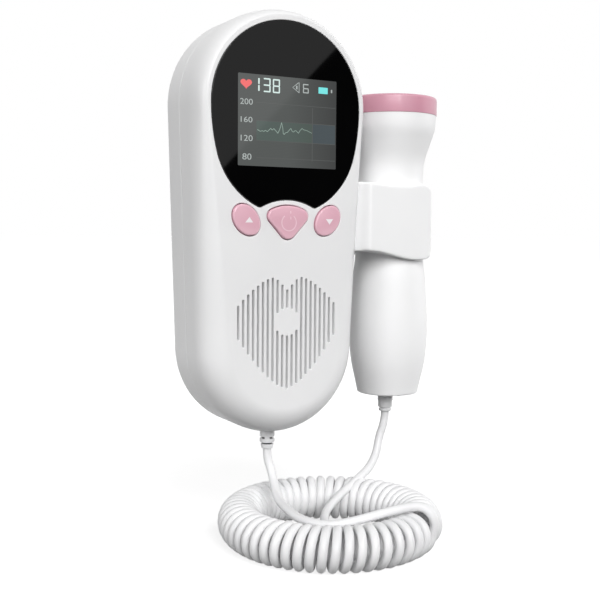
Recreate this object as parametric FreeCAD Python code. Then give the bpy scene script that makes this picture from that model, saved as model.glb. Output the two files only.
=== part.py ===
import FreeCAD, Part
import math
import os

from FreeCAD import Vector

# Pocket fetal doppler: a palm-sized display unit, an ultrasound probe held in a side clip, and the
# curly cord between them. Millimetres, +X to the user's right, +Y from the user into the unit, +Z up.
# The origin is the middle of the flat back face; the front face lies in the plane y = FACE_Y.

# ---- driving dimensions ----------------------------------------------------------------------------
CASE_DEPTH = 30.0
CASE_TOP_R = 30.25
CASE_TOP_Z = 37.75
CASE_BOTTOM_R = 27.9
CASE_BOTTOM_Z = -40.05
WALL = 2.0
FACE_WALL = 2.2
FRONT_ROUND_DEPTH = 10.0
FRONT_INSET_TOP = 3.0
FRONT_INSET_BOTTOM = 9.0
BACK_ROUND_DEPTH = 5.0
BACK_INSET = 5.0
INSIDE_FRONT_DEPTH = 12.0
INSIDE_FRONT_INSET_TOP = 3.3
INSIDE_FRONT_INSET_BOTTOM = 6.8
INSIDE_BACK_DEPTH = 7.0
INSIDE_BACK_INSET = 6.5
SEAM_DEPTH = 16.3
SEAM_GROOVE = 0.35
LIP_HEIGHT = 1.4
LIP_CLEARANCE = 0.1

LENS_HALF_WIDTH = 26.35
LENS_WIDEST_Z = 37.0
LENS_TOP_Z = 63.45
LENS_FLANK_R = 62.0
LENS_FLANK_DROP = 15.0
LENS_TIP_X = 9.75
LENS_TIP_Z = 5.1
LENS_NOTCH_Z = 7.7
LENS_THICKNESS = 1.2
LENS_GAP = 0.12
LENS_SINK = 0.05

SCREEN_WIDTH = 35.04
SCREEN_HEIGHT = 28.03
SCREEN_Z = 32.0
SCREEN_MARGIN = 1.2
LCD_WIDTH = 44.0
LCD_HEIGHT = 33.4
LCD_FRAME_WALL = 1.3

BUTTON_PROUD = 0.9
BUTTON_GAP = 0.25
BUTTON_TRAVEL = 0.5
BUTTON_FLANGE = 0.8
BUTTON_FLANGE_REACH = 0.8
BUTTON_EDGE_R = 0.6
BUTTON_STEM_R = 1.4
SWITCH_HEIGHT = 0.5
SWITCH_BASE_HEIGHT = 0.35
SWITCH_HALF_WIDTH = 1.9
SWITCH_DOME_R = 1.2
VOLUME_BUTTON_X = 14.6
VOLUME_BUTTON_Z = 1.3
VOLUME_BUTTON_LONG = 5.45
VOLUME_BUTTON_SHORT = 4.05
VOLUME_BUTTON_TILT = 48.0
POWER_CORNER_X = 4.9
POWER_CORNER_Z = 2.55
POWER_CORNER_R = 2.3
POWER_POINT_Z = -1.7
POWER_POINT_R = 3.0
POWER_CROWN_Z = 5.95

SLOT_COUNT = 21
SLOT_PITCH = 1.727
SLOT_WIDTH = 0.8
GRILLE_PLAIN_R = 4.4
GRILLE_PLAIN_Z = -31.0

SPEAKER_Z = -33.0
SPEAKER_R = 18.0
SPEAKER_RING_WALL = 1.4
SPEAKER_RING_HEIGHT = 3.0
SPEAKER_CONE_R = 15.6
MESH_THICKNESS = 0.3
MAGNET_R = 6.0
MAGNET_HEIGHT = 4.4

BOARD_THICKNESS = 1.6
BOARD_FRONT_DEPTH = 4.8
BOARD_INSET = 4.2
BOARD_LOW_Z = -9.5

CELL_R = 7.25
CELL_LENGTH = 49.5
CELL_PITCH = 14.9
CELL_AXIS_Y = -9.9
BAY_HALF_WIDTH = 15.2
BAY_BOTTOM_Z = -28.5
BAY_TOP_Z = 27.0
BAY_WALL = 1.3
BAY_FLOOR_Y = -17.4
DOOR_HALF_WIDTH = 17.0
DOOR_BOTTOM_Z = -31.0
DOOR_TOP_Z = 30.0
DOOR_THICKNESS = 1.6
DOOR_GAP = 0.2
DOOR_CORNER_R = 3.0
HOOK_PLACES = (-9.0, 9.0)
HOOK_HALF_WIDTH = 2.5
HOOK_FOOT_Y = -3.3
HOOK_GAP = 0.4
SLIT_PLACES = (-5.0, 5.0)
SLIT_LENGTH = 9.0
THUMB_GROOVES = 3
THUMB_GROOVE_PITCH = 1.8

CASE_SCREWS = [(-12.0, 54.5), (12.0, 54.5), (-14.0, -50.0), (14.0, -50.0)]
BOARD_SCREWS = [(-22.0, -5.5), (22.0, -5.5), (-18.5, 52.7), (18.5, 52.7)]
SCREW_R = 1.1
SCREW_HEAD_R = 2.1
SCREW_POCKET_R = 2.3
SCREW_POCKET_Y = -5.0
BOSS_R = 2.9
BOARD_POST_R = 2.2
BOARD_SCREW_R = 0.8
BOARD_SCREW_HEAD_R = 1.7

JACK_Y = -19.5
JACK_TOP_Z = 67.2
JACK_BORE_R = 1.78
JACK_BORE_LENGTH = 14.0
JACK_NOSE_R = 3.0
JACK_BODY_HALF = 3.2

PROBE_X = 49.3
PROBE_Y = -15.0
PROBE_WALL = 1.8
PROBE_SPLIT_Z = 2.0
PROBE_NECK_R = 11.6
PROBE_NECK_TOP_Z = 17.6
PROBE_HEAD_R = 15.8
GRIP_LOW_R = 13.3
GRIP_LOW_Z = -47.0
GRIP_END_R = 11.0
GRIP_END_Z = -58.1
GRIP_END_ROUND = 1.3
PROBE_BOTTOM_Z = -59.4
CAP_R = 16.0
CAP_INSIDE_R = 14.4
CAP_MOUTH_R = 13.5
CAP_LEDGE_Z = 41.5
CAP_BOTTOM_Z = 38.3
CAP_TOP_Z = 44.5
CAP_ROUND = 2.2
ACOUSTIC_R = 13.4
ACOUSTIC_BASE_Z = 42.0
PIEZO_R = 11.0
PIEZO_THICKNESS = 1.5
PIEZO_GAP = 0.8
BACKING_R = 12.2
BACKING_HEIGHT = 7.1

CLIP_SEAT_R = 12.4
CLIP_WALL = 2.1
CLIP_END_X = 57.6
CLIP_SCREW_HEIGHTS = (8.0, -4.5)
CLIP_SCREW_Y = -10.2
CLIP_SCREW_LENGTH = 8.0
CLIP_HEAD_R = 2.0
CLIP_HEAD_HEIGHT = 1.4

CORD_R = 1.45
RELIEF_Y = -16.4
RELIEF_NECK_R = 1.9
RELIEF_R = 2.5
RELIEF_END_Z = -74.5
RELIEF_WEB_WIDTH = 1.7
RELIEF_WEB_TURN = -27.0
PROBE_RELIEF_X = 48.5
PROBE_RELIEF_R = 2.7
PROBE_RELIEF_END_Z = -66.3
COIL_CENTRE = Vector(12.9, -36.3, -95.8)
COIL_RING_R = 28.5
COIL_TUBE_R = 7.15
COIL_START_DEG = -40.0
COIL_SWEEP_DEG = 350.0

UNIT_LEAD_ROUTE = [
    (0.0, -16.4, -74.5),
    (0.0, -16.4, -77.6),
    (0.9, -18.4, -82.7),
    (0.0, -21.9, -86.4),
    (-1.7, -27.7, -89.2),
    (-2.3, -34.2, -90.2),
    (-2.6, -40.9, -91.1),
    (-0.9, -47.1, -91.5),
    (2.6, -52.8, -91.5),
    (9.2, -57.1, -89.8),
    (19.6, -60.1, -87.3),
    (27.5, -61.3, -86.6),
    (31.5, -62.8, -89.0),
]
PROBE_LEAD_ROUTE = [
    (48.5, -15.0, -66.3),
    (48.5, -15.0, -69.8),
    (46.3, -14.5, -76.0),
    (44.2, -16.1, -81.6),
    (39.5, -18.1, -86.2),
    (33.4, -19.8, -88.9),
    (26.6, -22.4, -91.4),
    (20.0, -26.1, -93.5),
    (13.7, -31.1, -95.0),
    (9.7, -38.3, -97.4),
    (9.6, -45.8, -99.5),
    (14.0, -51.8, -100.8),
    (20.7, -53.7, -101.1),
    (27.0, -52.4, -100.6),
    (33.0, -51.5, -98.4),
]

FACE_Y = -CASE_DEPTH
SEAM_Y = FACE_Y + SEAM_DEPTH
INSIDE_FACE_Y = FACE_Y + FACE_WALL
BOARD_Y = FACE_Y + BOARD_FRONT_DEPTH
BACK = Vector(0, 1, 0)
FAR = 90.0

os.makedirs("parts", exist_ok=True)


def save(name, shape):
    if not shape.isValid():
        raise RuntimeError(name + " is not a valid shape")
    shape.exportStep(os.path.join("parts", name + ".step"))
    print(f"{name}: {len(shape.Solids)} solid(s), {shape.Volume / 1000:.3f} cm3")


def box(x0, x1, y0, y1, z0, z1):
    return Part.makeBox(x1 - x0, y1 - y0, z1 - z0, Vector(x0, y0, z0))


def slab(y0, y1):
    """Everything between two depths."""
    return box(-FAR, FAR, y0, y1, -FAR, FAR)


def rod(x, z, radius, y0, y1):
    """A round bar along Y."""
    return Part.makeCylinder(radius, y1 - y0, Vector(x, y0, z), BACK)


def upright(x, y, radius, z0, z1):
    """A round bar along Z."""
    return Part.makeCylinder(radius, z1 - z0, Vector(x, y, z0))


def crosswise(x, z, radius, length):
    """A round bar along X, on the line of the clip's screws."""
    return Part.makeCylinder(radius, length, Vector(x, CLIP_SCREW_Y, z), Vector(1, 0, 0))


def front_prism(edges, y0, y1):
    """A flat outline drawn at y = 0, extruded from y0 to y1."""
    face = Part.Face(Part.Wire(edges))
    face.translate(Vector(0, y0, 0))
    return face.extrude(Vector(0, y1 - y0, 0))


def arc(a, b, c):
    return Part.Arc(a, b, c).toShape()


def line(a, b):
    return Part.LineSegment(a, b).toShape()


def flat(x, z):
    return Vector(x, 0, z)


def group(solids):
    return Part.makeCompound(solids)


# ---- casing form: two round ends joined by tangent flanks, pillowed front and softer back ----------
def casing_edges(inset_top, inset_bottom, y):
    top_r = CASE_TOP_R - inset_top
    bottom_r = CASE_BOTTOM_R - inset_bottom
    lean = math.asin((bottom_r - top_r) / (CASE_TOP_Z - CASE_BOTTOM_Z))
    dx, dz = math.cos(lean), math.sin(lean)
    upper_right = Vector(top_r * dx, y, CASE_TOP_Z + top_r * dz)
    upper_left = Vector(-top_r * dx, y, CASE_TOP_Z + top_r * dz)
    lower_right = Vector(bottom_r * dx, y, CASE_BOTTOM_Z + bottom_r * dz)
    lower_left = Vector(-bottom_r * dx, y, CASE_BOTTOM_Z + bottom_r * dz)
    return [
        arc(upper_right, Vector(0, y, CASE_TOP_Z + top_r), upper_left),
        line(upper_left, lower_left),
        arc(lower_left, Vector(0, y, CASE_BOTTOM_Z - bottom_r), lower_right),
        line(lower_right, upper_right),
    ]


def flank_x(z, inset):
    """How far out the straight flank of the casing, drawn in by inset, is at a height."""
    top_r, bottom_r = CASE_TOP_R - inset, CASE_BOTTOM_R - inset
    lean = math.asin((top_r - bottom_r) / (CASE_TOP_Z - CASE_BOTTOM_Z))
    return top_r / math.cos(lean) - (CASE_TOP_Z - z) * math.tan(lean)


def casing_wire(inset_top, inset_bottom, y):
    return Part.Wire(casing_edges(inset_top, inset_bottom, y))


def casing_block(inset, y0, y1):
    return front_prism(casing_edges(inset, inset, 0), y0, y1)


def casing_form(inset, y_front, y_back, front_depth, inset_top, inset_bottom, back_depth, back_inset):
    """The closed casing shape, drawn in by inset, between two flat faces that roll over into the sides."""
    front = []
    back = []
    for degrees in (90, 74, 58, 42, 26, 12, 0):
        a = math.radians(degrees)
        along = 1 - math.sin(a)
        pull = 1 - math.cos(a)
        y = y_front + front_depth * along
        front.append(casing_wire(inset + inset_top * pull, inset + inset_bottom * pull, y))
        drawn_in = inset + back_inset * pull
        back.append(casing_wire(drawn_in, drawn_in, y_back - back_depth * along))
    nose = Part.makeLoft(front, True, False)
    tail = Part.makeLoft(back, True, False)
    middle = casing_block(inset, y_front + front_depth, y_back - back_depth)
    return nose.fuse([middle, tail]).removeSplitter()


CASING = casing_form(0, FACE_Y, 0, FRONT_ROUND_DEPTH, FRONT_INSET_TOP, FRONT_INSET_BOTTOM,
                     BACK_ROUND_DEPTH, BACK_INSET)
CAVITY = casing_form(WALL, INSIDE_FACE_Y, -FACE_WALL, INSIDE_FRONT_DEPTH, INSIDE_FRONT_INSET_TOP,
                     INSIDE_FRONT_INSET_BOTTOM, INSIDE_BACK_DEPTH, INSIDE_BACK_INSET)


def ring_band(inset_out, inset_in, y0, y1):
    return casing_block(inset_out, y0, y1).cut(casing_block(inset_in, y0 - 1, y1 + 1))


# ---- outlines on the front face --------------------------------------------------------------------
def lens_edges(grow):
    half = LENS_HALF_WIDTH + grow
    flank_r = LENS_FLANK_R + grow
    flank_centre = Vector(LENS_HALF_WIDTH - LENS_FLANK_R, 0, LENS_WIDEST_Z)
    flank_angle = math.asin(LENS_FLANK_DROP / LENS_FLANK_R)

    def on_flank(angle, radius):
        return flank_centre + Vector(radius * math.cos(angle), 0, -radius * math.sin(angle))

    low_flank = on_flank(flank_angle, LENS_FLANK_R)
    tip = flat(LENS_TIP_X, LENS_TIP_Z)
    # the jaw arc leaves the flank tangentially and ends at the tip
    inward = (flank_centre - low_flank).normalize()
    chord = tip - low_flank
    jaw_r = chord.dot(chord) / (2 * chord.dot(inward))
    jaw_centre = low_flank + inward * jaw_r
    start = (low_flank - jaw_centre).normalize()
    finish = (tip - jaw_centre).normalize()
    middle = (start + finish).normalize()
    widest = flat(half, LENS_WIDEST_Z)
    low = on_flank(flank_angle, flank_r)
    jaw_mid = jaw_centre + middle * (jaw_r + grow)
    end = jaw_centre + finish * (jaw_r + grow) + Vector(0, 0, -grow * 0.5)
    right = [
        (widest, on_flank(flank_angle / 2, flank_r), low),
        (low, jaw_mid, end),
    ]

    def mirror(point):
        return Vector(-point.x, 0, point.z)

    crown = Part.Ellipse(flat(0, LENS_TOP_Z + grow), widest, flat(0, LENS_WIDEST_Z))
    edges = [Part.ArcOfEllipse(crown, -math.pi / 2, math.pi / 2).toShape()]
    for a, b, c in right:
        edges.append(arc(a, b, c))
        edges.append(arc(mirror(a), mirror(b), mirror(c)))
    edges.append(arc(end, flat(0, LENS_NOTCH_Z - grow), mirror(end)))
    return Part.__sortEdges__(edges)


def power_edges(grow):
    corner_r = POWER_CORNER_R + grow
    point_r = POWER_POINT_R + grow
    left = flat(-POWER_CORNER_X, POWER_CORNER_Z)
    right = flat(POWER_CORNER_X, POWER_CORNER_Z)
    point = flat(0, POWER_POINT_Z)
    # the crown arc is tangent inside both corner circles
    reach = POWER_CROWN_Z - POWER_CORNER_R
    crown_z = (reach**2 - POWER_CORNER_X**2 - POWER_CORNER_Z**2) / (2 * (reach - POWER_CORNER_Z))
    crown = flat(0, crown_z)
    up_left = left + (left - crown).normalize() * corner_r
    up_right = right + (right - crown).normalize() * corner_r
    # the flanks are tangent to a corner circle and the point circle
    span = right - point
    distance = span.Length
    along = span.normalize()
    out = Vector(along.z, 0, -along.x)
    tilt = (POWER_POINT_R - POWER_CORNER_R) / distance
    normal = along * tilt + out * math.sqrt(1 - tilt**2)
    side = right + normal * corner_r
    low = point + normal * point_r

    def mirror(p):
        return Vector(-p.x, 0, p.z)

    outer_mid = right + ((up_right - right).normalize() + normal).normalize() * corner_r
    return [
        arc(up_left, flat(0, POWER_CROWN_Z + grow), up_right),
        arc(up_right, outer_mid, side),
        line(side, low),
        arc(low, flat(0, POWER_POINT_Z - point_r), mirror(low)),
        line(mirror(low), mirror(side)),
        arc(mirror(side), mirror(outer_mid), up_left),
    ]


def volume_edges(side, grow):
    """The tilted oval of the left (side -1) or right (side 1) button."""
    centre = flat(side * VOLUME_BUTTON_X, VOLUME_BUTTON_Z)
    a = math.radians(VOLUME_BUTTON_TILT)
    long_way = flat(side * math.cos(a), math.sin(a)) * (VOLUME_BUTTON_LONG + grow)
    short_way = flat(-side * math.sin(a), math.cos(a)) * (VOLUME_BUTTON_SHORT + grow)
    return [Part.Ellipse(centre + long_way, centre + short_way, centre).toShape()]


def left_edges(grow):
    return volume_edges(-1, grow)


def right_edges(grow):
    return volume_edges(1, grow)


BUTTONS = {
    "power_button": (power_edges, 0.0, 0.6),
    "volume_up_button": (left_edges, -VOLUME_BUTTON_X, VOLUME_BUTTON_Z),
    "volume_down_button": (right_edges, VOLUME_BUTTON_X, VOLUME_BUTTON_Z),
}


def grille_top(x):
    """The heart's upper edge: two shoulders that fall outwards, with a notch between them."""
    shoulder_x, shoulder_z, fall, half = 5.2, -16.8, 8.5, 12.1
    notch_z, notch_rise = -20.7, 0.93
    beyond = max(abs(x) - shoulder_x, 0)
    return min(shoulder_z - fall * (beyond / half) ** 1.5, notch_z + notch_rise * abs(x))


def grille_bottom(x):
    """The heart's lower edge, which runs in to a rounded point."""
    point_z, rise, half = -52.6, 16.5, 17.3
    return point_z + rise * (abs(x) / half) ** 1.53


def slot(x, z0, z1):
    r = SLOT_WIDTH / 2
    y0, y1 = FACE_Y - 1, INSIDE_FACE_Y + 1
    body = box(x - r, x + r, y0, y1, z0 + r, z1 - r)
    return body.fuse([rod(x, z0 + r, r, y0, y1), rod(x, z1 - r, r, y0, y1)])


def grille_slots():
    slots = []
    for i in range(SLOT_COUNT):
        x = (i - (SLOT_COUNT - 1) / 2) * SLOT_PITCH
        low, high = grille_bottom(x), grille_top(x)
        if abs(x) < GRILLE_PLAIN_R:
            half = math.sqrt(GRILLE_PLAIN_R**2 - x**2)
            slots.append(slot(x, low, GRILLE_PLAIN_Z - half))
            slots.append(slot(x, GRILLE_PLAIN_Z + half, high))
        else:
            slots.append(slot(x, low, high))
    return slots


# ---- front shell -----------------------------------------------------------------------------------
def front_shell():
    shell = CASING.common(slab(FACE_Y - 5, SEAM_Y)).cut(CAVITY)
    shell = shell.cut(ring_band(0, SEAM_GROOVE, SEAM_Y - 0.2, SEAM_Y + 1))
    lip = ring_band(WALL / 2 + LIP_CLEARANCE, WALL, SEAM_Y - 0.1, SEAM_Y + LIP_HEIGHT)
    shell = shell.fuse(lip)

    posts = []
    holes = []
    for x, z in CASE_SCREWS:
        posts.append(rod(x, z, BOSS_R, INSIDE_FACE_Y - 0.1, SEAM_Y))
        holes.append(rod(x, z, SCREW_R - 0.15, INSIDE_FACE_Y + 3, SEAM_Y + 1))
    for x, z in BOARD_SCREWS:
        posts.append(rod(x, z, BOARD_POST_R, INSIDE_FACE_Y - 0.1, BOARD_Y))
        holes.append(rod(x, z, BOARD_SCREW_R, INSIDE_FACE_Y - 0.4, BOARD_Y + 1))
    ring_y = INSIDE_FACE_Y + SPEAKER_RING_HEIGHT
    speaker_ring = rod(0, SPEAKER_Z, SPEAKER_R + SPEAKER_RING_WALL, INSIDE_FACE_Y - 0.1, ring_y)
    speaker_ring = speaker_ring.cut(rod(0, SPEAKER_Z, SPEAKER_R + 0.2, FACE_Y, ring_y + 1))
    for x, z in CASE_SCREWS:
        speaker_ring = speaker_ring.cut(rod(x, z, BOSS_R - 0.2, FACE_Y, SEAM_Y))
    posts.append(speaker_ring)
    shell = shell.fuse([p.common(CASING) for p in posts]).cut(group(holes))

    recess_y = FACE_Y + LENS_THICKNESS + LENS_SINK
    shell = shell.cut(front_prism(lens_edges(LENS_GAP), FACE_Y - 1, recess_y))
    half_width, half_height = SCREEN_WIDTH / 2 + SCREEN_MARGIN, SCREEN_HEIGHT / 2 + SCREEN_MARGIN
    shell = shell.cut(box(-half_width, half_width, FACE_Y, INSIDE_FACE_Y + 1,
                          SCREEN_Z - half_height, SCREEN_Z + half_height))
    for outline, _, _ in BUTTONS.values():
        shell = shell.cut(front_prism(outline(BUTTON_GAP), FACE_Y - 1, INSIDE_FACE_Y + 1))
    shell = shell.cut(group(grille_slots()))
    shell = shell.cut(upright(0, JACK_Y, JACK_NOSE_R + 0.2, JACK_TOP_Z - 7, JACK_TOP_Z + 5))
    return shell.cut(upright(0, RELIEF_Y, RELIEF_NECK_R + 0.1, RELIEF_END_Z, RELIEF_END_Z + 12))


# ---- back shell ------------------------------------------------------------------------------------
def back_shell():
    shell = CASING.common(slab(SEAM_Y, 5)).cut(CAVITY)
    shell = shell.cut(ring_band(0, SEAM_GROOVE, SEAM_Y - 1, SEAM_Y + 0.2))
    shell = shell.cut(ring_band(WALL / 2, WALL + 0.5, SEAM_Y - 1, SEAM_Y + LIP_HEIGHT + LIP_CLEARANCE))

    bay = box(
        -BAY_HALF_WIDTH - BAY_WALL,
        BAY_HALF_WIDTH + BAY_WALL,
        BAY_FLOOR_Y - BAY_WALL,
        -DOOR_THICKNESS - 0.1,
        BAY_BOTTOM_Z - BAY_WALL,
        BAY_TOP_Z + BAY_WALL,
    )
    bosses = [rod(x, z, BOSS_R, SEAM_Y + 0.05, -0.5) for x, z in CASE_SCREWS]
    shell = shell.fuse([bay] + bosses)
    shell = shell.cut(
        box(-BAY_HALF_WIDTH, BAY_HALF_WIDTH, BAY_FLOOR_Y, 1, BAY_BOTTOM_Z, BAY_TOP_Z)
    )
    shell = shell.cut(door_block(0, -DOOR_THICKNESS - 0.1, 1))
    for x in HOOK_PLACES:
        x0, x1 = x - HOOK_HALF_WIDTH - HOOK_GAP, x + HOOK_HALF_WIDTH + HOOK_GAP
        y0 = HOOK_FOOT_Y - BAY_WALL
        shell = shell.cut(box(x0, x1, y0, -DOOR_THICKNESS, BAY_TOP_Z - 1, BAY_TOP_Z + 3))
        shell = shell.cut(box(x0, x1, y0, -FACE_WALL, BAY_TOP_Z, DOOR_TOP_Z + 3))
    holes = []
    for x, z in CASE_SCREWS:
        holes.append(rod(x, z, SCREW_R + 0.1, SEAM_Y - 1, 1))
        holes.append(rod(x, z, SCREW_POCKET_R, SCREW_POCKET_Y, 1))
    for z in CLIP_SCREW_HEIGHTS:
        holes.append(crosswise(24, z, SCREW_R + 0.1, 10))
    return shell.cut(group(holes))


def door_block(gap, y0, y1):
    block = box(
        -DOOR_HALF_WIDTH + gap, DOOR_HALF_WIDTH - gap, y0, y1, DOOR_BOTTOM_Z + gap, DOOR_TOP_Z - gap
    )
    corners = [e for e in block.Edges if abs(e.tangentAt(e.FirstParameter).y) > 0.99]
    return block.makeFillet(DOOR_CORNER_R - gap, corners)


def battery_door():
    door = door_block(DOOR_GAP, -DOOR_THICKNESS, 0)
    foot_z = BAY_TOP_Z + HOOK_GAP
    for x in HOOK_PLACES:
        x0, x1 = x - HOOK_HALF_WIDTH, x + HOOK_HALF_WIDTH
        foot = box(x0, x1, HOOK_FOOT_Y, -DOOR_THICKNESS + 0.1, foot_z, DOOR_TOP_Z - 0.8)
        hook = box(x0, x1, HOOK_FOOT_Y, -FACE_WALL - 0.15, foot_z, DOOR_TOP_Z + 1.9)
        door = door.fuse([foot, hook])
    # the snap tongue is freed by two slits, and a few grooves give the thumb a hold
    for x in SLIT_PLACES:
        door = door.cut(box(x - 0.4, x + 0.4, -3, 1, DOOR_BOTTOM_Z - 1, DOOR_BOTTOM_Z + SLIT_LENGTH))
    for i in range(THUMB_GROOVES):
        z = DOOR_BOTTOM_Z + 3.0 + THUMB_GROOVE_PITCH * i
        door = door.cut(box(-3.6, 3.6, -0.45, 1, z - 0.35, z + 0.35))
    return door


# ---- display ---------------------------------------------------------------------------------------
def display_lens():
    lens = front_prism(lens_edges(0), FACE_Y + LENS_SINK, FACE_Y + LENS_SINK + LENS_THICKNESS)
    tips = [
        e
        for e in lens.Edges
        if abs(e.tangentAt(e.FirstParameter).y) > 0.99 and e.CenterOfMass.z < LENS_TIP_Z + 1.5
    ]
    return lens.makeFillet(0.45, tips)


def lcd_panel():
    y0 = FACE_Y + LENS_SINK + LENS_THICKNESS + 0.15
    glass = box(-SCREEN_WIDTH / 2 - 1, SCREEN_WIDTH / 2 + 1, y0, INSIDE_FACE_Y + 0.2,
                SCREEN_Z - SCREEN_HEIGHT / 2 - 1, SCREEN_Z + SCREEN_HEIGHT / 2 + 1)
    back = box(-LCD_WIDTH / 2, LCD_WIDTH / 2, INSIDE_FACE_Y + 0.1, BOARD_Y - 0.3,
               SCREEN_Z - LCD_HEIGHT / 2, SCREEN_Z + LCD_HEIGHT / 2)
    return glass.fuse(back).removeSplitter()


def lcd_frame():
    def block(grow, y0, y1):
        half_width, half_height = LCD_WIDTH / 2 + grow, LCD_HEIGHT / 2 + grow
        return box(-half_width, half_width, y0, y1, SCREEN_Z - half_height, SCREEN_Z + half_height)

    outer = block(LCD_FRAME_WALL, INSIDE_FACE_Y + 0.1, BOARD_Y)
    return outer.cut(block(0.1, FACE_Y, BOARD_Y + 1)).common(CAVITY)


def main_board():
    y0, y1 = BOARD_Y, BOARD_Y + BOARD_THICKNESS
    board = casing_block(BOARD_INSET, y0, y1).cut(box(-FAR, FAR, y0 - 1, y1 + 1, -FAR, BOARD_LOW_Z))
    for x, z in CASE_SCREWS:
        board = board.cut(rod(x, z, BOSS_R + 0.4, y0 - 1, y1 + 1))
    for x, z in BOARD_SCREWS:
        board = board.cut(rod(x, z, BOARD_SCREW_R + 0.35, y0 - 1, y1 + 1))
    jack_half = JACK_BODY_HALF + 0.8
    jack_low = JACK_TOP_Z - JACK_BORE_LENGTH - 1.7
    return board.cut(box(-jack_half, jack_half, y0 - 1, y1 + 1, jack_low, FAR))


def board_chips():
    y0 = BOARD_Y + BOARD_THICKNESS
    chips = []
    for x, z, half_width, half_height, tall in (
        (-9, 34, 5.0, 5.0, 1.4),
        (8, 36, 3.5, 3.5, 1.2),
        (-12, 14, 3.0, 4.5, 1.5),
        (9, 10, 4.0, 3.0, 1.5),
        (0, 45, 5.5, 2.0, 2.4),
    ):
        chips.append(box(x - half_width, x + half_width, y0, y0 + tall, z - half_height, z + half_height))
    return group(chips)


def key_switches():
    switches = []
    for _, x, z in BUTTONS.values():
        half = SWITCH_HALF_WIDTH
        base = box(x - half, x + half, BOARD_Y - SWITCH_BASE_HEIGHT, BOARD_Y, z - half, z + half)
        switches.append(base.fuse(rod(x, z, SWITCH_DOME_R, BOARD_Y - SWITCH_HEIGHT, BOARD_Y - 0.3)))
    return group(switches)


def button(name):
    outline, x, z = BUTTONS[name]
    cap = front_prism(outline(0), FACE_Y - BUTTON_PROUD, INSIDE_FACE_Y + 0.2)
    rim = [e for e in cap.Edges if abs(e.CenterOfMass.y - (FACE_Y - BUTTON_PROUD)) < 0.01]
    cap = cap.makeFillet(BUTTON_EDGE_R, rim)
    flange_y = INSIDE_FACE_Y + 0.1
    flange = front_prism(outline(BUTTON_FLANGE_REACH), flange_y, flange_y + BUTTON_FLANGE)
    stem = rod(x, z, BUTTON_STEM_R, INSIDE_FACE_Y + 0.5, BOARD_Y - SWITCH_HEIGHT - BUTTON_TRAVEL - 0.05)
    return cap.fuse([flange, stem])


# ---- speaker ---------------------------------------------------------------------------------------
def grille_mesh():
    return rod(0, SPEAKER_Z, SPEAKER_R - 0.1, INSIDE_FACE_Y, INSIDE_FACE_Y + MESH_THICKNESS)


def speaker_frame():
    y0 = INSIDE_FACE_Y + MESH_THICKNESS
    ring = rod(0, SPEAKER_Z, SPEAKER_R, y0, y0 + 1.2)
    cup = Part.makeCone(SPEAKER_R - 1, 9.5, 3.6, Vector(0, y0 + 1.1, SPEAKER_Z), BACK)
    hollow = Part.makeCone(SPEAKER_R - 1.8, 8.7, 3.8, Vector(0, y0 + 0.4, SPEAKER_Z), BACK)
    frame = ring.fuse(cup).cut(rod(0, SPEAKER_Z, SPEAKER_R - 1.8, y0 - 1, y0 + 0.5)).cut(hollow)
    return frame.cut(rod(0, SPEAKER_Z, MAGNET_R + 0.2, y0, y0 + 6))


def speaker_cone():
    y0 = INSIDE_FACE_Y + 0.5
    depth, skin = 2.6, 0.4
    outside = Part.makeCone(SPEAKER_CONE_R, MAGNET_R, depth, Vector(0, y0, SPEAKER_Z), BACK)
    inside = Part.makeCone(SPEAKER_CONE_R - skin, MAGNET_R - skin, depth, Vector(0, y0 - 0.3, SPEAKER_Z),
                           BACK)
    return outside.cut(inside)


def speaker_magnet():
    y0 = INSIDE_FACE_Y + 3.6
    return rod(0, SPEAKER_Z, MAGNET_R, y0, y0 + MAGNET_HEIGHT)


# ---- power -----------------------------------------------------------------------------------------
def battery_cell(side):
    x = side * CELL_PITCH / 2
    z0 = (BAY_BOTTOM_Z + BAY_TOP_Z - CELL_LENGTH) / 2
    can = upright(x, CELL_AXIS_Y, CELL_R, z0, z0 + CELL_LENGTH)
    ends = [e for e in can.Edges if e.Curve.TypeId == "Part::GeomCircle"]
    can = can.makeFillet(0.6, ends)
    nub = upright(x, CELL_AXIS_Y, 2.7, z0 + CELL_LENGTH - 0.1, z0 + CELL_LENGTH + 1.0)
    if side > 0:
        nub = upright(x, CELL_AXIS_Y, 2.7, z0 - 1.0, z0 + 0.1)
    return can.fuse(nub)


def battery_contacts():
    """One bridge plate at the bottom of the bay and two tabs at its top."""
    y0, y1 = CELL_AXIS_Y - 5.5, CELL_AXIS_Y + 3.5
    bridge = box(-12.5, 12.5, y0, y1, BAY_BOTTOM_Z, BAY_BOTTOM_Z + 0.4)
    dome = upright(-CELL_PITCH / 2, CELL_AXIS_Y, 2.4, BAY_BOTTOM_Z + 0.3, BAY_BOTTOM_Z + 2.9)
    solids = [bridge.fuse(dome)]
    for side in (-1, 1):
        x = side * CELL_PITCH / 2
        tab = box(x - 5, x + 5, y0, y1, BAY_TOP_Z - 0.4, BAY_TOP_Z)
        if side > 0:
            tab = tab.fuse(upright(x, CELL_AXIS_Y, 2.4, BAY_TOP_Z - 2.9, BAY_TOP_Z - 0.3))
        solids.append(tab)
    return group(solids)


# ---- sockets and fasteners -------------------------------------------------------------------------
def headphone_jack():
    low = JACK_TOP_Z - JACK_BORE_LENGTH
    body = box(-3.6, 3.6, JACK_Y - JACK_BODY_HALF, JACK_Y + JACK_BODY_HALF, low - 1, JACK_TOP_Z - 2.4)
    nose = upright(0, JACK_Y, JACK_NOSE_R, JACK_TOP_Z - 3, JACK_TOP_Z)
    return body.fuse(nose).cut(upright(0, JACK_Y, JACK_BORE_R, low, JACK_TOP_Z + 1))


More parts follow.
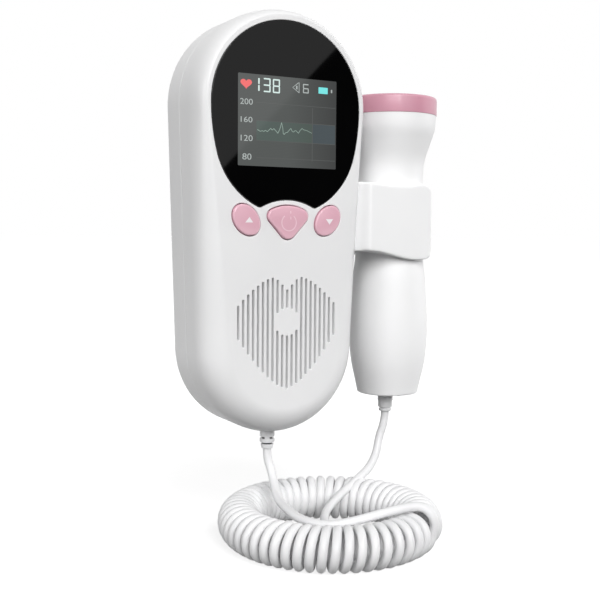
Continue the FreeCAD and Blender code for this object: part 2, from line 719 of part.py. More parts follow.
def lead_relief():
    """Moulded strain relief that snaps into the casing's lower end: flange, neck, collar, two ribs."""
    relief = upright(0, RELIEF_Y, 3.7, -65.5, -64.3)
    bands = [
        (RELIEF_NECK_R, -68.1, -65.4),
        (RELIEF_R, -70.5, -68.0),
        (1.7, -71.2, -70.5),
        (RELIEF_R, -72.4, -71.2),
        (1.65, -73.0, -72.4),
    ]
    relief = relief.fuse([upright(0, RELIEF_Y, *band) for band in bands])
    tail = Part.makeCone(1.9, 2.2, -73.0 - RELIEF_END_Z, Vector(0, RELIEF_Y, RELIEF_END_Z))
    # a web on each side crosses the upper groove
    half = RELIEF_WEB_WIDTH / 2
    web = box(-half, half, RELIEF_Y - 2.4, RELIEF_Y + 2.4, -71.2, -70.5)
    web.rotate(Vector(0, RELIEF_Y, 0), Vector(0, 0, 1), RELIEF_WEB_TURN)
    return relief.fuse([tail, web]).removeSplitter()


def screw(x, z, shank_r, head_r, tip_y, seat_y, head_y, cross):
    """A cross-head screw along Y, its head towards the back, with arms of the cross this long and wide."""
    shank = rod(x, z, shank_r, tip_y, seat_y + 0.1)
    head = rod(x, z, head_r, seat_y, head_y)
    length, width, depth = cross
    level = box(x - length, x + length, head_y - depth, head_y + 1, z - width, z + width)
    plumb = box(x - width, x + width, head_y - depth, head_y + 1, z - length, z + length)
    return shank.fuse(head).cut(level).cut(plumb)


def casing_screws():
    seat_y = SCREW_POCKET_Y + 0.02
    screws = []
    for x, z in CASE_SCREWS:
        screws.append(screw(x, z, SCREW_R - 0.1, SCREW_HEAD_R, SEAM_Y - 6, seat_y, -3.3, (1.1, 0.25, 0.7)))
    return group(screws)


def board_screws():
    top = BOARD_Y + BOARD_THICKNESS
    screws = []
    for x, z in BOARD_SCREWS:
        screws.append(screw(x, z, BOARD_SCREW_R, BOARD_SCREW_HEAD_R, BOARD_Y - 2.6, top, top + 1.1,
                            (0.9, 0.2, 0.5)))
    return group(screws)


def clip_screws():
    screws = []
    for z in CLIP_SCREW_HEIGHTS:
        seat_x = flank_x(z - CLIP_HEAD_R, WALL) - 0.02
        head = crosswise(seat_x - CLIP_HEAD_HEIGHT, z, CLIP_HEAD_R, CLIP_HEAD_HEIGHT)
        screws.append(head.fuse(crosswise(seat_x - 0.2, z, SCREW_R - 0.1, CLIP_SCREW_LENGTH)))
    return group(screws)


# ---- probe clip ------------------------------------------------------------------------------------
def probe_clip():
    reach = CLIP_SEAT_R + CLIP_WALL
    y0, y1 = PROBE_Y - reach, PROBE_Y + reach
    root_x, shoulder_x = 24.0, 31.8
    corner = 1.0
    plan = [
        (root_x, y0 + 8.0),
        (28.6, y0 + 4.6),
        (shoulder_x, y0),
        (CLIP_END_X - corner, y0),
        (CLIP_END_X, y0 + corner),
        (CLIP_END_X, y1 - corner),
        (CLIP_END_X - corner, y1),
        (shoulder_x, y1),
        (28.6, y1 - 4.6),
        (root_x, y1 - 8.0),
    ]
    corners = [Vector(x, y, -20) for x, y in plan]
    block = Part.Face(Part.makePolygon(corners + [corners[0]])).extrude(Vector(0, 0, 45))

    top = Part.BSplineCurve()
    top.interpolate([flat(23, 15.2), flat(31, 14.5), flat(40, 13.6), flat(52.5, 14.4)])
    bottom = Part.BSplineCurve()
    bottom.interpolate([flat(54.6, -11.6), flat(45, -11.0), flat(35.5, -8.9), flat(23, -10.8)])
    side = [
        top.toShape(),
        arc(flat(52.5, 14.4), flat(56.2, 13.0), flat(CLIP_END_X, 9.4)),
        line(flat(CLIP_END_X, 9.4), flat(CLIP_END_X, -8.6)),
        arc(flat(CLIP_END_X, -8.6), flat(56.7, -10.7), flat(54.6, -11.6)),
        bottom.toShape(),
        line(flat(23, -10.8), flat(23, 15.2)),
    ]
    clip = block.common(front_prism(side, y0 - 1, y1 + 1))
    seat = upright(PROBE_X, PROBE_Y, CLIP_SEAT_R, -30, 40)
    mouth = box(PROBE_X, CLIP_END_X + 5, PROBE_Y - CLIP_SEAT_R, PROBE_Y + CLIP_SEAT_R, -30, 40)
    clip = clip.cut(seat.fuse(mouth)).cut(CASING)
    core = box(26, 34.6, PROBE_Y - 8.5, CLIP_SCREW_Y - 3.0, -6, 10.5)
    clip = clip.cut(core)
    for z in CLIP_SCREW_HEIGHTS:
        clip = clip.cut(crosswise(25, z, SCREW_R - 0.15, 12))
    return clip


# ---- probe -----------------------------------------------------------------------------------------
def turned(edges):
    """Revolve a closed outline, drawn as radius and height at y = 0, about the probe's axis."""
    face = Part.Face(Part.Wire(edges))
    solid = face.revolve(Vector(0, 0, 0), Vector(0, 0, 1), 360)
    solid.translate(Vector(PROBE_X, PROBE_Y, 0))
    return solid


def curve(points):
    c = Part.BSplineCurve()
    c.interpolate([flat(r, z) for r, z in points])
    return c.toShape()


HEAD_CURVE = [
    (PROBE_HEAD_R, CAP_BOTTOM_Z),
    (15.4, 33.5),
    (13.85, 28.6),
    (12.1, 23.0),
    (PROBE_NECK_R, PROBE_NECK_TOP_Z),
]
GRIP_CURVE = [
    (PROBE_NECK_R, PROBE_SPLIT_Z),
    (12.1, -11.0),
    (13.1, -20.5),
    (13.9, -35.5),
    (GRIP_LOW_R, GRIP_LOW_Z),
]


def chain(points):
    return [line(flat(*a), flat(*b)) for a, b in zip(points, points[1:])]


def sleeve(inner_r, outer_r, z0, z1):
    return turned(chain([(inner_r, z0), (outer_r, z0), (outer_r, z1), (inner_r, z1), (inner_r, z0)]))


def probe_head():
    neck_in = PROBE_NECK_R - PROBE_WALL
    head_in = PROBE_HEAD_R - PROBE_WALL
    edges = [curve(HEAD_CURVE), curve([(r - PROBE_WALL, z) for r, z in HEAD_CURVE])]
    edges += chain([(PROBE_NECK_R, PROBE_NECK_TOP_Z), (PROBE_NECK_R, PROBE_SPLIT_Z)])
    edges += chain([(PROBE_NECK_R, PROBE_SPLIT_Z), (neck_in, PROBE_SPLIT_Z), (neck_in, PROBE_NECK_TOP_Z)])
    edges += chain([(head_in, CAP_BOTTOM_Z), (PROBE_HEAD_R, CAP_BOTTOM_Z)])
    head = turned(Part.__sortEdges__(edges))
    spigot = sleeve(13.3, CAP_INSIDE_R - 0.1, CAP_BOTTOM_Z - 1.1, CAP_LEDGE_Z - 0.1)
    return head.fuse(spigot)


def probe_handle():
    floor_z = PROBE_BOTTOM_Z + PROBE_WALL
    flat_r = GRIP_END_R - GRIP_END_ROUND
    inside = [(r - PROBE_WALL, z) for r, z in GRIP_CURVE]
    edges = [curve(GRIP_CURVE), curve(inside)]
    edges += chain([(GRIP_LOW_R, GRIP_LOW_Z), (GRIP_END_R, GRIP_END_Z)])
    edges.append(arc(flat(GRIP_END_R, GRIP_END_Z), flat(GRIP_END_R - 0.45, PROBE_BOTTOM_Z + 0.35),
                     flat(flat_r, PROBE_BOTTOM_Z)))
    edges += chain([(flat_r, PROBE_BOTTOM_Z), (0, PROBE_BOTTOM_Z), (0, floor_z),
                    (GRIP_END_R - PROBE_WALL - 0.6, floor_z), inside[-1]])
    edges += chain([inside[0], (PROBE_NECK_R, PROBE_SPLIT_Z)])
    handle = turned(Part.__sortEdges__(edges))
    # a spigot above the split holds the head, on a web inside the neck
    spigot_r = PROBE_NECK_R - PROBE_WALL
    spigot_in = spigot_r - 1.2
    spigot = sleeve(spigot_in, spigot_r - 0.05, -4, 7)
    web = turned(chain([(spigot_in, -4), (10.6, -4), (10.4, 1.5), (spigot_in, 1.5), (spigot_in, -4)]))
    hole = upright(PROBE_RELIEF_X, PROBE_Y, PROBE_RELIEF_R + 0.1, PROBE_BOTTOM_Z - 1, floor_z + 1)
    return handle.fuse([spigot, web]).cut(hole)


def probe_cap():
    shoulder_r, shoulder_z = CAP_R - CAP_ROUND, CAP_TOP_Z - CAP_ROUND
    corner = CAP_ROUND * math.sqrt(0.5)
    edges = chain([(CAP_R, CAP_BOTTOM_Z), (CAP_R, shoulder_z)])
    edges.append(arc(flat(CAP_R, shoulder_z), flat(shoulder_r + corner, shoulder_z + corner),
                     flat(shoulder_r, CAP_TOP_Z)))
    edges += chain([(shoulder_r, CAP_TOP_Z), (CAP_MOUTH_R, CAP_TOP_Z), (CAP_MOUTH_R, CAP_LEDGE_Z),
                    (CAP_INSIDE_R, CAP_LEDGE_Z), (CAP_INSIDE_R, CAP_BOTTOM_Z), (CAP_R, CAP_BOTTOM_Z)])
    return turned(edges)


def acoustic_face():
    crown_z, rim_z = CAP_TOP_Z + 0.2, CAP_TOP_Z - 0.4
    edges = chain([(ACOUSTIC_R, rim_z), (ACOUSTIC_R, ACOUSTIC_BASE_Z), (0, ACOUSTIC_BASE_Z), (0, crown_z)])
    edges.append(arc(flat(0, crown_z), flat(ACOUSTIC_R / 2, crown_z - 0.15), flat(ACOUSTIC_R, rim_z)))
    return turned(edges)


def piezo(side):
    """Half of a round plate under the acoustic face; side is -1 for the transmitter's half."""
    top_z = ACOUSTIC_BASE_Z - 0.1
    disc = upright(PROBE_X, PROBE_Y, PIEZO_R, top_z - PIEZO_THICKNESS, top_z)
    near, reach = side * PIEZO_GAP / 2, side * 2 * PIEZO_R
    half = box(PROBE_X + min(near, reach), PROBE_X + max(near, reach), PROBE_Y - 2 * PIEZO_R,
               PROBE_Y + 2 * PIEZO_R, top_z - 3, top_z + 1)
    return disc.common(half)


def backing_block():
    top_z = ACOUSTIC_BASE_Z - PIEZO_THICKNESS - 0.2
    return upright(PROBE_X, PROBE_Y, BACKING_R, top_z - BACKING_HEIGHT, top_z)


def probe_board():
    return box(PROBE_X - 8, PROBE_X + 8, PROBE_Y - 0.8, PROBE_Y + 0.8, -46, 30)


def probe_relief():
    """Moulded strain relief held by its flange behind the handle's floor: neck, shoulder, one rib."""
    flange_z = PROBE_BOTTOM_Z + PROBE_WALL + 0.1
    relief = upright(PROBE_RELIEF_X, PROBE_Y, 3.9, flange_z, flange_z + 1.3)
    bands = [
        (PROBE_RELIEF_R, -62.5, flange_z + 0.1),
        (2.5, -64.9, -62.5),
        (1.9, -65.5, -64.9),
        (2.25, PROBE_RELIEF_END_Z, -65.5),
    ]
    return relief.fuse([upright(PROBE_RELIEF_X, PROBE_Y, *band) for band in bands]).removeSplitter()


# ---- cord ------------------------------------------------------------------------------------------
def cord_tube(name, route):
    """A round cord on straight runs joined by tangent arcs, each as large as its runs allow."""
    points = [Vector(*p) for p in route]
    edges = []
    start = points[0]
    radii = []
    for before, corner, after in zip(points, points[1:], points[2:]):
        back, onward = before - corner, after - corner
        shorter = min(back.Length, onward.Length)
        back.normalize()
        onward.normalize()
        half_turn = (math.pi - back.getAngle(onward)) / 2
        trim = 0.45 * shorter
        radius = trim / math.tan(half_turn)
        radii.append(radius)
        enter, leave = corner + back * trim, corner + onward * trim
        bisector = (back + onward).normalize()
        middle = corner + bisector * (radius / math.cos(half_turn) - radius)
        edges += [line(start, enter), arc(enter, middle, leave)]
        start = leave
    edges.append(line(start, points[-1]))
    length = sum(e.Length for e in edges)
    path = Part.Wire(edges)
    section = Part.Wire(Part.Circle(points[0], points[1] - points[0], CORD_R).toShape())
    tube = path.makePipeShell([section], True, False)
    share = tube.Volume / (math.pi * CORD_R**2 * length)
    print(f"{name}: length {length:.1f} mm, volume share {share:.4f}, least radius {min(radii):.1f} mm,"
          f" radii {[round(r, 1) for r in radii]}")
    return tube


def curly_cord():
    """The coiled stretch as one fat ring of the coil's outer diameter, laid almost full circle."""
    centre = COIL_CENTRE + Vector(COIL_RING_R, 0, 0)
    face = Part.Face(Part.Wire(Part.Circle(centre, Vector(0, 1, 0), COIL_TUBE_R).toShape()))
    ring = face.revolve(COIL_CENTRE, Vector(0, 0, 1), -COIL_SWEEP_DEG)
    ring.rotate(COIL_CENTRE, Vector(0, 0, 1), COIL_START_DEG)
    return ring


save("front_shell", front_shell())
save("back_shell", back_shell())
save("battery_door", battery_door())
save("display_lens", display_lens())
save("lcd_panel", lcd_panel())
save("lcd_frame", lcd_frame())
save("main_board", main_board())
save("board_chips", board_chips())
save("key_switches", key_switches())
for button_name in BUTTONS:
    save(button_name, button(button_name))
save("grille_mesh", grille_mesh())
save("speaker_frame", speaker_frame())
save("speaker_cone", speaker_cone())
save("speaker_magnet", speaker_magnet())
save("battery_cell_left", battery_cell(-1))
save("battery_cell_right", battery_cell(1))
save("battery_contacts", battery_contacts())
save("headphone_jack", headphone_jack())
save("lead_relief", lead_relief())
save("casing_screws", casing_screws())
save("board_screws", board_screws())
save("clip_screws", clip_screws())
save("probe_clip", probe_clip())
save("probe_head", probe_head())
save("probe_handle", probe_handle())
save("probe_cap", probe_cap())
save("acoustic_face", acoustic_face())
save("piezo_transmitter", piezo(-1))
save("piezo_receiver", piezo(1))
save("backing_block", backing_block())
save("probe_board", probe_board())
save("probe_relief", probe_relief())
save("unit_lead", cord_tube("unit_lead", UNIT_LEAD_ROUTE))
save("probe_lead", cord_tube("probe_lead", PROBE_LEAD_ROUTE))
save("curly_cord", curly_cord())
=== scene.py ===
import math

import bmesh
import bpy
from mathutils import Matrix, Vector
from mathutils.bvhtree import BVHTree
from mathutils.geometry import tessellate_polygon


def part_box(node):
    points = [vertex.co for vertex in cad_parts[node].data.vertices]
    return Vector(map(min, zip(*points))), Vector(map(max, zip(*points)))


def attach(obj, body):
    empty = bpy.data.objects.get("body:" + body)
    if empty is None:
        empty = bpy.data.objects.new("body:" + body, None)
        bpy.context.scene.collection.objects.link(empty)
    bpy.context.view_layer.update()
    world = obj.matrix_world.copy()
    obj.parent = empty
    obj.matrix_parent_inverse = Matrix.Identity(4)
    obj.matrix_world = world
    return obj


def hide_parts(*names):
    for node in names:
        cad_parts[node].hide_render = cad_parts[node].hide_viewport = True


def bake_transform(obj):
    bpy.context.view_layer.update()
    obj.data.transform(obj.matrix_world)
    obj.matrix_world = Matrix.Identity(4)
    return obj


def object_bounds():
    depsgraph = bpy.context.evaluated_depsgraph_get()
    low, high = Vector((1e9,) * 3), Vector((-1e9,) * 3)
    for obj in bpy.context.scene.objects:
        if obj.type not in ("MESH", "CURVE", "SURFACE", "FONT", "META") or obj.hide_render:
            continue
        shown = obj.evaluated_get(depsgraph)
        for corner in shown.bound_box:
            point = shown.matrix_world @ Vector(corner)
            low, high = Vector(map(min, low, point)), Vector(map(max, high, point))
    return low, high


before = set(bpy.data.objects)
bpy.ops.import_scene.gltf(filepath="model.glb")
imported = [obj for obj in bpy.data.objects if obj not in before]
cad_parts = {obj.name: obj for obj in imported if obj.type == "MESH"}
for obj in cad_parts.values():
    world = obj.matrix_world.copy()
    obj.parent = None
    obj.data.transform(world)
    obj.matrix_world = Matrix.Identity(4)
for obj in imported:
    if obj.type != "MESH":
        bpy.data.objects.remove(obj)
cad_low, cad_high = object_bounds()


# ---- camera ----------------------------------------------------------------------------------------
# A 57 mm lens on a 36 mm sensor, a third of a metre in front of the monitor and to its left, a little
# below the display. It looks slightly down at the monitor, which stands upright over its coiled cord.
camera_place = Vector((-0.14427, -0.29524, -0.00171))
camera_yaw = math.radians(29.307)
camera_dip = math.radians(4.154)
camera_roll = math.radians(0.414)


def in_scene(name, data):
    """An object made for some data and put in the scene."""
    made = bpy.data.objects.new(name, data)
    bpy.context.scene.collection.objects.link(made)
    return made


ahead = Vector((math.sin(camera_yaw) * math.cos(camera_dip),
                math.cos(camera_yaw) * math.cos(camera_dip), -math.sin(camera_dip)))
level_right = Vector((math.cos(camera_yaw), -math.sin(camera_yaw), 0))
level_up = level_right.cross(ahead)
camera_right = level_right * math.cos(camera_roll) + level_up * math.sin(camera_roll)
camera_up = level_up * math.cos(camera_roll) - level_right * math.sin(camera_roll)

camera_data = bpy.data.cameras.new("camera")
camera_data.lens = 57.0
camera_data.sensor_width = 36.0
camera_data.clip_start = 0.01
camera = in_scene("camera", camera_data)
facing = Matrix((camera_right, camera_up, -ahead)).transposed()
camera.matrix_world = Matrix.Translation(camera_place) @ facing.to_4x4()
bpy.context.scene.camera = camera


# ---- cord ------------------------------------------------------------------------------------------
# One round cord in a white PVC jacket. It leaves the casing's lower end, crosses the top of its own
# coil, runs through fifty-odd turns laid as a ring, and rises from inside the ring to the probe.
CORD_RADIUS = 0.00145
CORD_FLOOR = -0.10295
RING_CENTRE = Vector((0.0135, -0.0350, 0.0))
RING_HALF_WIDTH = 0.02945
RING_HALF_NEAR = 0.0294
RING_HALF_FAR = 0.0245
TURN_RADIUS = 0.0057
TURN_LOOSE = 0.0004
TURN_START = -27.0
TURN_END = -373.0
POINTS_PER_TURN = 16
# Degrees round the ring, and how many of them one turn takes there.
TURN_MARKS = [(-27, 7.2), (-56, 7.1), (-92, 6.15), (-141, 6.1),
              (-196, 6.4), (-241, 6.7), (-300, 6.8), (-373, 7.0)]

unit_lead_route = [
    (0.0000, -0.0164, -0.0745), (0.0000, -0.0164, -0.0776), (0.0009, -0.0184, -0.0827),
    (0.0000, -0.0219, -0.0864), (-0.0017, -0.0277, -0.0892), (-0.0023, -0.0342, -0.0902),
    (-0.0026, -0.0409, -0.0911), (-0.0009, -0.0471, -0.0915), (0.0026, -0.0528, -0.0915),
    (0.0092, -0.0571, -0.0898), (0.0196, -0.0601, -0.0873),
]
over_the_ring = [(0.0275, -0.0613, -0.0866), (0.0307, -0.0627, -0.0869), (0.0327, -0.0645, -0.0891),
                 (0.0336, -0.0648, -0.0923)]
probe_lead_route = [
    (0.0485, -0.0150, -0.0663), (0.0485, -0.0150, -0.0698), (0.0463, -0.0145, -0.0760),
    (0.0442, -0.0161, -0.0816), (0.0395, -0.0181, -0.0862), (0.0334, -0.0198, -0.0889),
    (0.0266, -0.0224, -0.0914), (0.0200, -0.0261, -0.0935), (0.0137, -0.0311, -0.0950),
    (0.0097, -0.0383, -0.0974), (0.0096, -0.0458, -0.0995), (0.0140, -0.0518, -0.1008),
    (0.0207, -0.0537, -0.1011), (0.0270, -0.0524, -0.1006), (0.0330, -0.0515, -0.0984),
]


def turn_angle(place):
    """Degrees round the ring taken by the turn at one place, from the marks on both sides of it."""
    for (first, wide), (last, narrow) in zip(TURN_MARKS, TURN_MARKS[1:]):
        if place >= last:
            return wide + (narrow - wide) * (first - place) / (first - last)
    return TURN_MARKS[-1][1]


def coil_turns():
    """Points round the ring, which is flatter behind than in front, on the floor all the way."""
    level_ahead = Vector((-level_right.y, level_right.x, 0))
    points = []
    place = TURN_START
    wind = 0.0
    while place > TURN_END:
        phi = math.radians(wind)
        theta = math.radians(place)
        behind = max(math.sin(theta), 0)
        radius = TURN_RADIUS + TURN_LOOSE * behind
        half_depth = RING_HALF_FAR if behind else RING_HALF_NEAR
        sideways = (RING_HALF_WIDTH + radius * math.cos(phi)) * math.cos(theta)
        backwards = (half_depth + radius * math.cos(phi)) * math.sin(theta)
        height = CORD_FLOOR + CORD_RADIUS + radius * (1 + math.sin(phi))
        points.append(RING_CENTRE + level_right * sideways + level_ahead * backwards
                      + Vector((0, 0, height)))
        place -= turn_angle(place) / POINTS_PER_TURN
        wind -= 360.0 / POINTS_PER_TURN
    return points


def cord_curve(name, points, radius):
    """A round cord along one smooth spline, with a route's points as its control points."""
    data = bpy.data.curves.new(name, "CURVE")
    data.dimensions = "3D"
    data.resolution_u = 3
    data.bevel_depth = radius
    data.bevel_resolution = 4
    data.use_fill_caps = True
    spline = data.splines.new("NURBS")
    spline.points.add(len(points) - 1)
    for control, place in zip(spline.points, points):
        control.co = (*place, 1.0)
    spline.order_u = 3
    spline.use_endpoint_u = True
    return in_scene(name, data)


def centre_line(points):
    """The smooth line of a route, as ordered points."""
    route = cord_curve("route", points, 0.0)
    route.data.resolution_u = 12
    mesh = bpy.data.meshes.new_from_object(route)
    line = [vertex.co.copy() for vertex in mesh.vertices]
    bpy.data.objects.remove(route)
    return line


def length_of(line):
    return sum((b - a).length for a, b in zip(line, line[1:]))


def new_material(name):
    """A node material, with its tree and its Principled shader."""
    material = bpy.data.materials.new(name)
    material.use_nodes = True
    tree = material.node_tree
    return material, tree, tree.nodes["Principled BSDF"]


def feed(tree, made, inputs):
    """Gives a node's inputs their values, or joins them to sockets or to other nodes' first outputs."""
    for key, value in inputs:
        if isinstance(value, bpy.types.Node):
            value = value.outputs[0]
        if isinstance(value, bpy.types.NodeSocket):
            tree.links.new(value, made.inputs[key])
        else:
            made.inputs[key].default_value = value
    return made


def node(tree, kind, inputs=(), **settings):
    """A node of one kind, with its settings made and its inputs fed."""
    made = tree.nodes.new(kind)
    for key, value in settings.items():
        setattr(made, key, value)
    return feed(tree, made, inputs)


def object_place(tree):
    return node(tree, "ShaderNodeTexCoord").outputs["Object"]


def maths(tree, operation, *values):
    return node(tree, "ShaderNodeMath", enumerate(values), operation=operation)


def noise(tree, vector, size, detail=2.0):
    """Noise whose cells are about one size, in metres."""
    return node(tree, "ShaderNodeTexNoise",
                [("Vector", vector), ("Scale", 1.0 / size), ("Detail", detail)])


def ranged(tree, share, low, high, start=0.0, end=1.0):
    """A value that goes from low to high as a share goes from start to end."""
    return node(tree, "ShaderNodeMapRange", [("Value", share), ("From Min", start), ("From Max", end),
                                             ("To Min", low), ("To Max", high)])


def two_tones(tree, share, first, second, start=0.0, end=1.0):
    """A colour that goes from one tone to another as a share goes from start to end."""
    tone = node(tree, "ShaderNodeValToRGB", [("Fac", share)])
    for element, position, colour in zip(tone.color_ramp.elements, (start, end), (first, second)):
        element.position = position
        element.color = (*colour, 1.0)
    return tone


def moulded_plastic(name, dark, light, roughness, grain=0.0009, depth=0.000004, mottle=0.012, coat=0.0):
    """Moulded plastic or PVC: a slow drift of tone from dark to light, and a fine skin in the gloss."""
    material, tree, shader = new_material(name)
    place = object_place(tree)
    drift = noise(tree, place, mottle, 3.0)
    skin = node(tree, "ShaderNodeBump",
                [("Height", noise(tree, place, grain)), ("Strength", 0.5), ("Distance", depth)])
    feed(tree, shader, [("Base Color", two_tones(tree, drift, dark, light, 0.3, 0.7)),
                        ("Roughness", ranged(tree, drift, roughness * 0.88, roughness * 1.12)),
                        ("Normal", skin), ("Coat Weight", coat), ("Coat Roughness", 0.08)])
    return material


cord_jacket = moulded_plastic("cord_jacket", (0.80, 0.80, 0.81), (0.86, 0.86, 0.865), 0.38,
                              grain=0.0012)

coiled_points = [Vector(p) for p in unit_lead_route + over_the_ring] + coil_turns()
coiled_cord = cord_curve("coiled_cord", coiled_points, CORD_RADIUS)
coiled_cord.data.materials.append(cord_jacket)
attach(coiled_cord, "unit")
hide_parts("unit_lead", "curly_cord")
length_of(centre_line(coiled_points))

probe_line = centre_line(probe_lead_route)
probe_tube = cord_curve("probe_tube", probe_lead_route, CORD_RADIUS)
probe_tube.data.resolution_u = 12
probe_lead = in_scene("probe_lead_cord", bpy.data.meshes.new_from_object(probe_tube))
bpy.data.objects.remove(probe_tube)
probe_lead.data.materials.clear()
probe_lead.data.materials.append(cord_jacket)
probe_lead.data.shade_smooth()
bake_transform(probe_lead)
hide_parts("probe_lead")


# ---- front cover -----------------------------------------------------------------------------------
# One moulding in glossy white ABS: a flat face that rolls over into the sides, a shallow seat for the
# display lens, three key openings, and a heart of upright slots with a plain disc at its middle.
FACE = -0.030
FACE_INSIDE = -0.0278
SEAM = -0.0137
CASE_WALL = 0.002
TOP_RADIUS = 0.03025
TOP_CENTRE = 0.03775
BOTTOM_RADIUS = 0.0279
BOTTOM_CENTRE = -0.04005
OUTLINE_STEPS = 96
FLANK_STEPS = 24
FRONT_ROLL = 0.010
FRONT_ROLL_STEPS = 16
FRONT_PULL_TOP = 0.0030
FRONT_PULL_BOTTOM = 0.0090
INSIDE_ROLL = 0.012
INSIDE_ROLL_STEPS = 10
INSIDE_PULL_TOP = 0.0033
INSIDE_PULL_BOTTOM = 0.0068
LENS_SEAT = 0.00125
LENS_GAP = 0.00012
KEY_GAP = 0.00025
SLOT_WIDTH = 0.0008
SLOT_END_STEPS = 6
BROKEN_EDGE = 0.00025
KEY_HOLE_EDGE = 0.00035
SLOT_EDGE = 0.00014
# How far the wall draws in, and how far from the seam, where its edge is eased.
seam_edge = [(0.0, 0.0004), (0.0, 0.0002), (0.00006, 0.00009), (0.0002, 0.00002)]


def corners_at(*places):
    return [Vector((x, 0, z)) for x, z in places]


def arc_through(centre, radius, first, last, steps):
    x, z = centre
    angles = [math.radians(first + (last - first) * i / steps) for i in range(steps + 1)]
    return [Vector((x + radius * math.cos(a), 0, z + radius * math.sin(a))) for a in angles]


def casing_loop(inset_top, inset_bottom):
    """The casing's outline: two round ends joined by tangent flanks, as a closed loop."""
    top = TOP_RADIUS - inset_top
    bottom = BOTTOM_RADIUS - inset_bottom
    lean = math.degrees(math.asin((top - bottom) / (TOP_CENTRE - BOTTOM_CENTRE)))
    crown = arc_through((0, TOP_CENTRE), top, -lean, 180 + lean, OUTLINE_STEPS)
    foot = arc_through((0, BOTTOM_CENTRE), bottom, 180 + lean, 360 - lean, OUTLINE_STEPS)
    left = [crown[-1].lerp(foot[0], i / FLANK_STEPS) for i in range(1, FLANK_STEPS)]
    right = [foot[-1].lerp(crown[0], i / FLANK_STEPS) for i in range(1, FLANK_STEPS)]
    return crown + left + foot + right


def offset_loop(loop, outwards):
    """A closed loop on the face, listed anticlockwise, moved out from its own middle."""
    moved = []
    for before, here, after in zip(loop[-1:] + loop[:-1], loop, loop[1:] + loop[:1]):
        a = (here - before).normalized()
        b = (after - here).normalized()
        along = (a + b).normalized()
        out = Vector((along.z, 0, -along.x))
        moved.append(here + out * (outwards / max(along.dot(a), 0.5)))
    return moved


def rounded_rectangle(x0, x1, z0, z1, radius, steps=6):
    loop = []
    for cx, cz, first in ((x1 - radius, z0 + radius, -90), (x1 - radius, z1 - radius, 0),
                          (x0 + radius, z1 - radius, 90), (x0 + radius, z0 + radius, 180)):
        loop += arc_through((cx, cz), radius, first, first + 90, steps)
    return loop


def lens_loop():
    """An egg with a notch at its lower end: half ellipse, long flanks, jaws, and softened tips."""
    half_width, widest, top = 0.02635, 0.0370, 0.06345
    flank_radius, flank_drop = 0.062, 0.015
    tip = Vector((0.00975, 0, 0.0051))
    notch = Vector((0, 0, 0.0077))
    flank_centre = Vector((half_width - flank_radius, 0, widest))
    flank_end = math.asin(flank_drop / flank_radius)
    low = flank_centre + Vector((math.cos(flank_end), 0, -math.sin(flank_end))) * flank_radius
    inward = (flank_centre - low).normalized()
    chord = tip - low
    jaw_radius = chord.length_squared / (2 * chord.dot(inward))
    jaw_centre = low + inward * jaw_radius
    first = math.degrees(math.atan2(low.z - jaw_centre.z, low.x - jaw_centre.x))
    last = math.degrees(math.atan2(tip.z - jaw_centre.z, tip.x - jaw_centre.x))
    notch_radius = (tip.x ** 2 + (notch.z - tip.z) ** 2) / (2 * (notch.z - tip.z))
    notch_half = math.degrees(math.asin(tip.x / notch_radius))
    jaw = arc_through((jaw_centre.x, jaw_centre.z), jaw_radius, last, first, 24)
    flank = arc_through((flank_centre.x, widest), flank_radius, -math.degrees(flank_end), 0, 16)
    bow = arc_through((0, notch.z - notch_radius), notch_radius, 90, 90 - notch_half, 14)
    soft = 0.0007
    bend_in = bow[-1].lerp(bow[-2], soft / (bow[-1] - bow[-2]).length)
    bend_out = jaw[0].lerp(jaw[1], soft / (jaw[0] - jaw[1]).length)
    corner = [bend_in.lerp(tip, t).lerp(tip.lerp(bend_out, t), t) for t in (0, 0.25, 0.5, 0.75, 1)]
    right = bow[:-1] + corner + jaw[1:-1] + flank[:-1]
    right = [p for p in right if p.x > 1e-6]
    crown = [Vector((half_width * math.cos(a), 0, widest + (top - widest) * math.sin(a)))
             for a in (math.pi * i / 64 for i in range(65))]
    left = [Vector((-p.x, 0, p.z)) for p in reversed(right)]
    return right + crown + left + [notch]


def power_loop():
    """A rounded three-cornered key: arched top, two corner circles, straight flanks, blunt point."""
    corner_x, corner_z, corner_r = 0.0049, 0.00255, 0.0023
    point_z, point_r, crown_z = -0.0017, 0.0030, 0.00595
    reach = crown_z - corner_r
    arch = (reach ** 2 - corner_x ** 2 - corner_z ** 2) / (2 * (reach - corner_z))
    span = math.hypot(corner_x, corner_z - point_z)
    slope = math.degrees(math.atan2(corner_z - point_z, corner_x))
    tilt = math.degrees(math.asin((point_r - corner_r) / span))
    side = slope - 90 + tilt
    up = math.degrees(math.atan2(corner_z - arch, corner_x))
    right = arc_through((corner_x, corner_z), corner_r, side, up, 12)
    crown = arc_through((0, arch), crown_z - arch, up, 180 - up, 20)
    left = arc_through((-corner_x, corner_z), corner_r, 180 - up, 180 - side, 12)
    point = arc_through((0, point_z), point_r, 180 - side, 360 + side, 16)
    return right + crown[1:-1] + left + point


VOLUME_MIDDLE = (0.0146, 0.0013)
VOLUME_HALVES = (0.00545, 0.00405)
VOLUME_TILT = math.radians(48)
VOLUME_STEPS = 56


def volume_loop(side):
    """A tilted oval, leaning out at its top; side is -1 for the left key and 1 for the right."""
    loop = []
    for i in range(VOLUME_STEPS):
        a = 2 * math.pi * i / VOLUME_STEPS
        u = VOLUME_HALVES[0] * math.cos(a)
        v = VOLUME_HALVES[1] * math.sin(a)
        x = VOLUME_MIDDLE[0] + u * math.cos(VOLUME_TILT) - v * math.sin(VOLUME_TILT)
        z = VOLUME_MIDDLE[1] + u * math.sin(VOLUME_TILT) + v * math.cos(VOLUME_TILT)
        loop.append(Vector((side * x, 0, z)))
    return loop if side > 0 else loop[::-1]


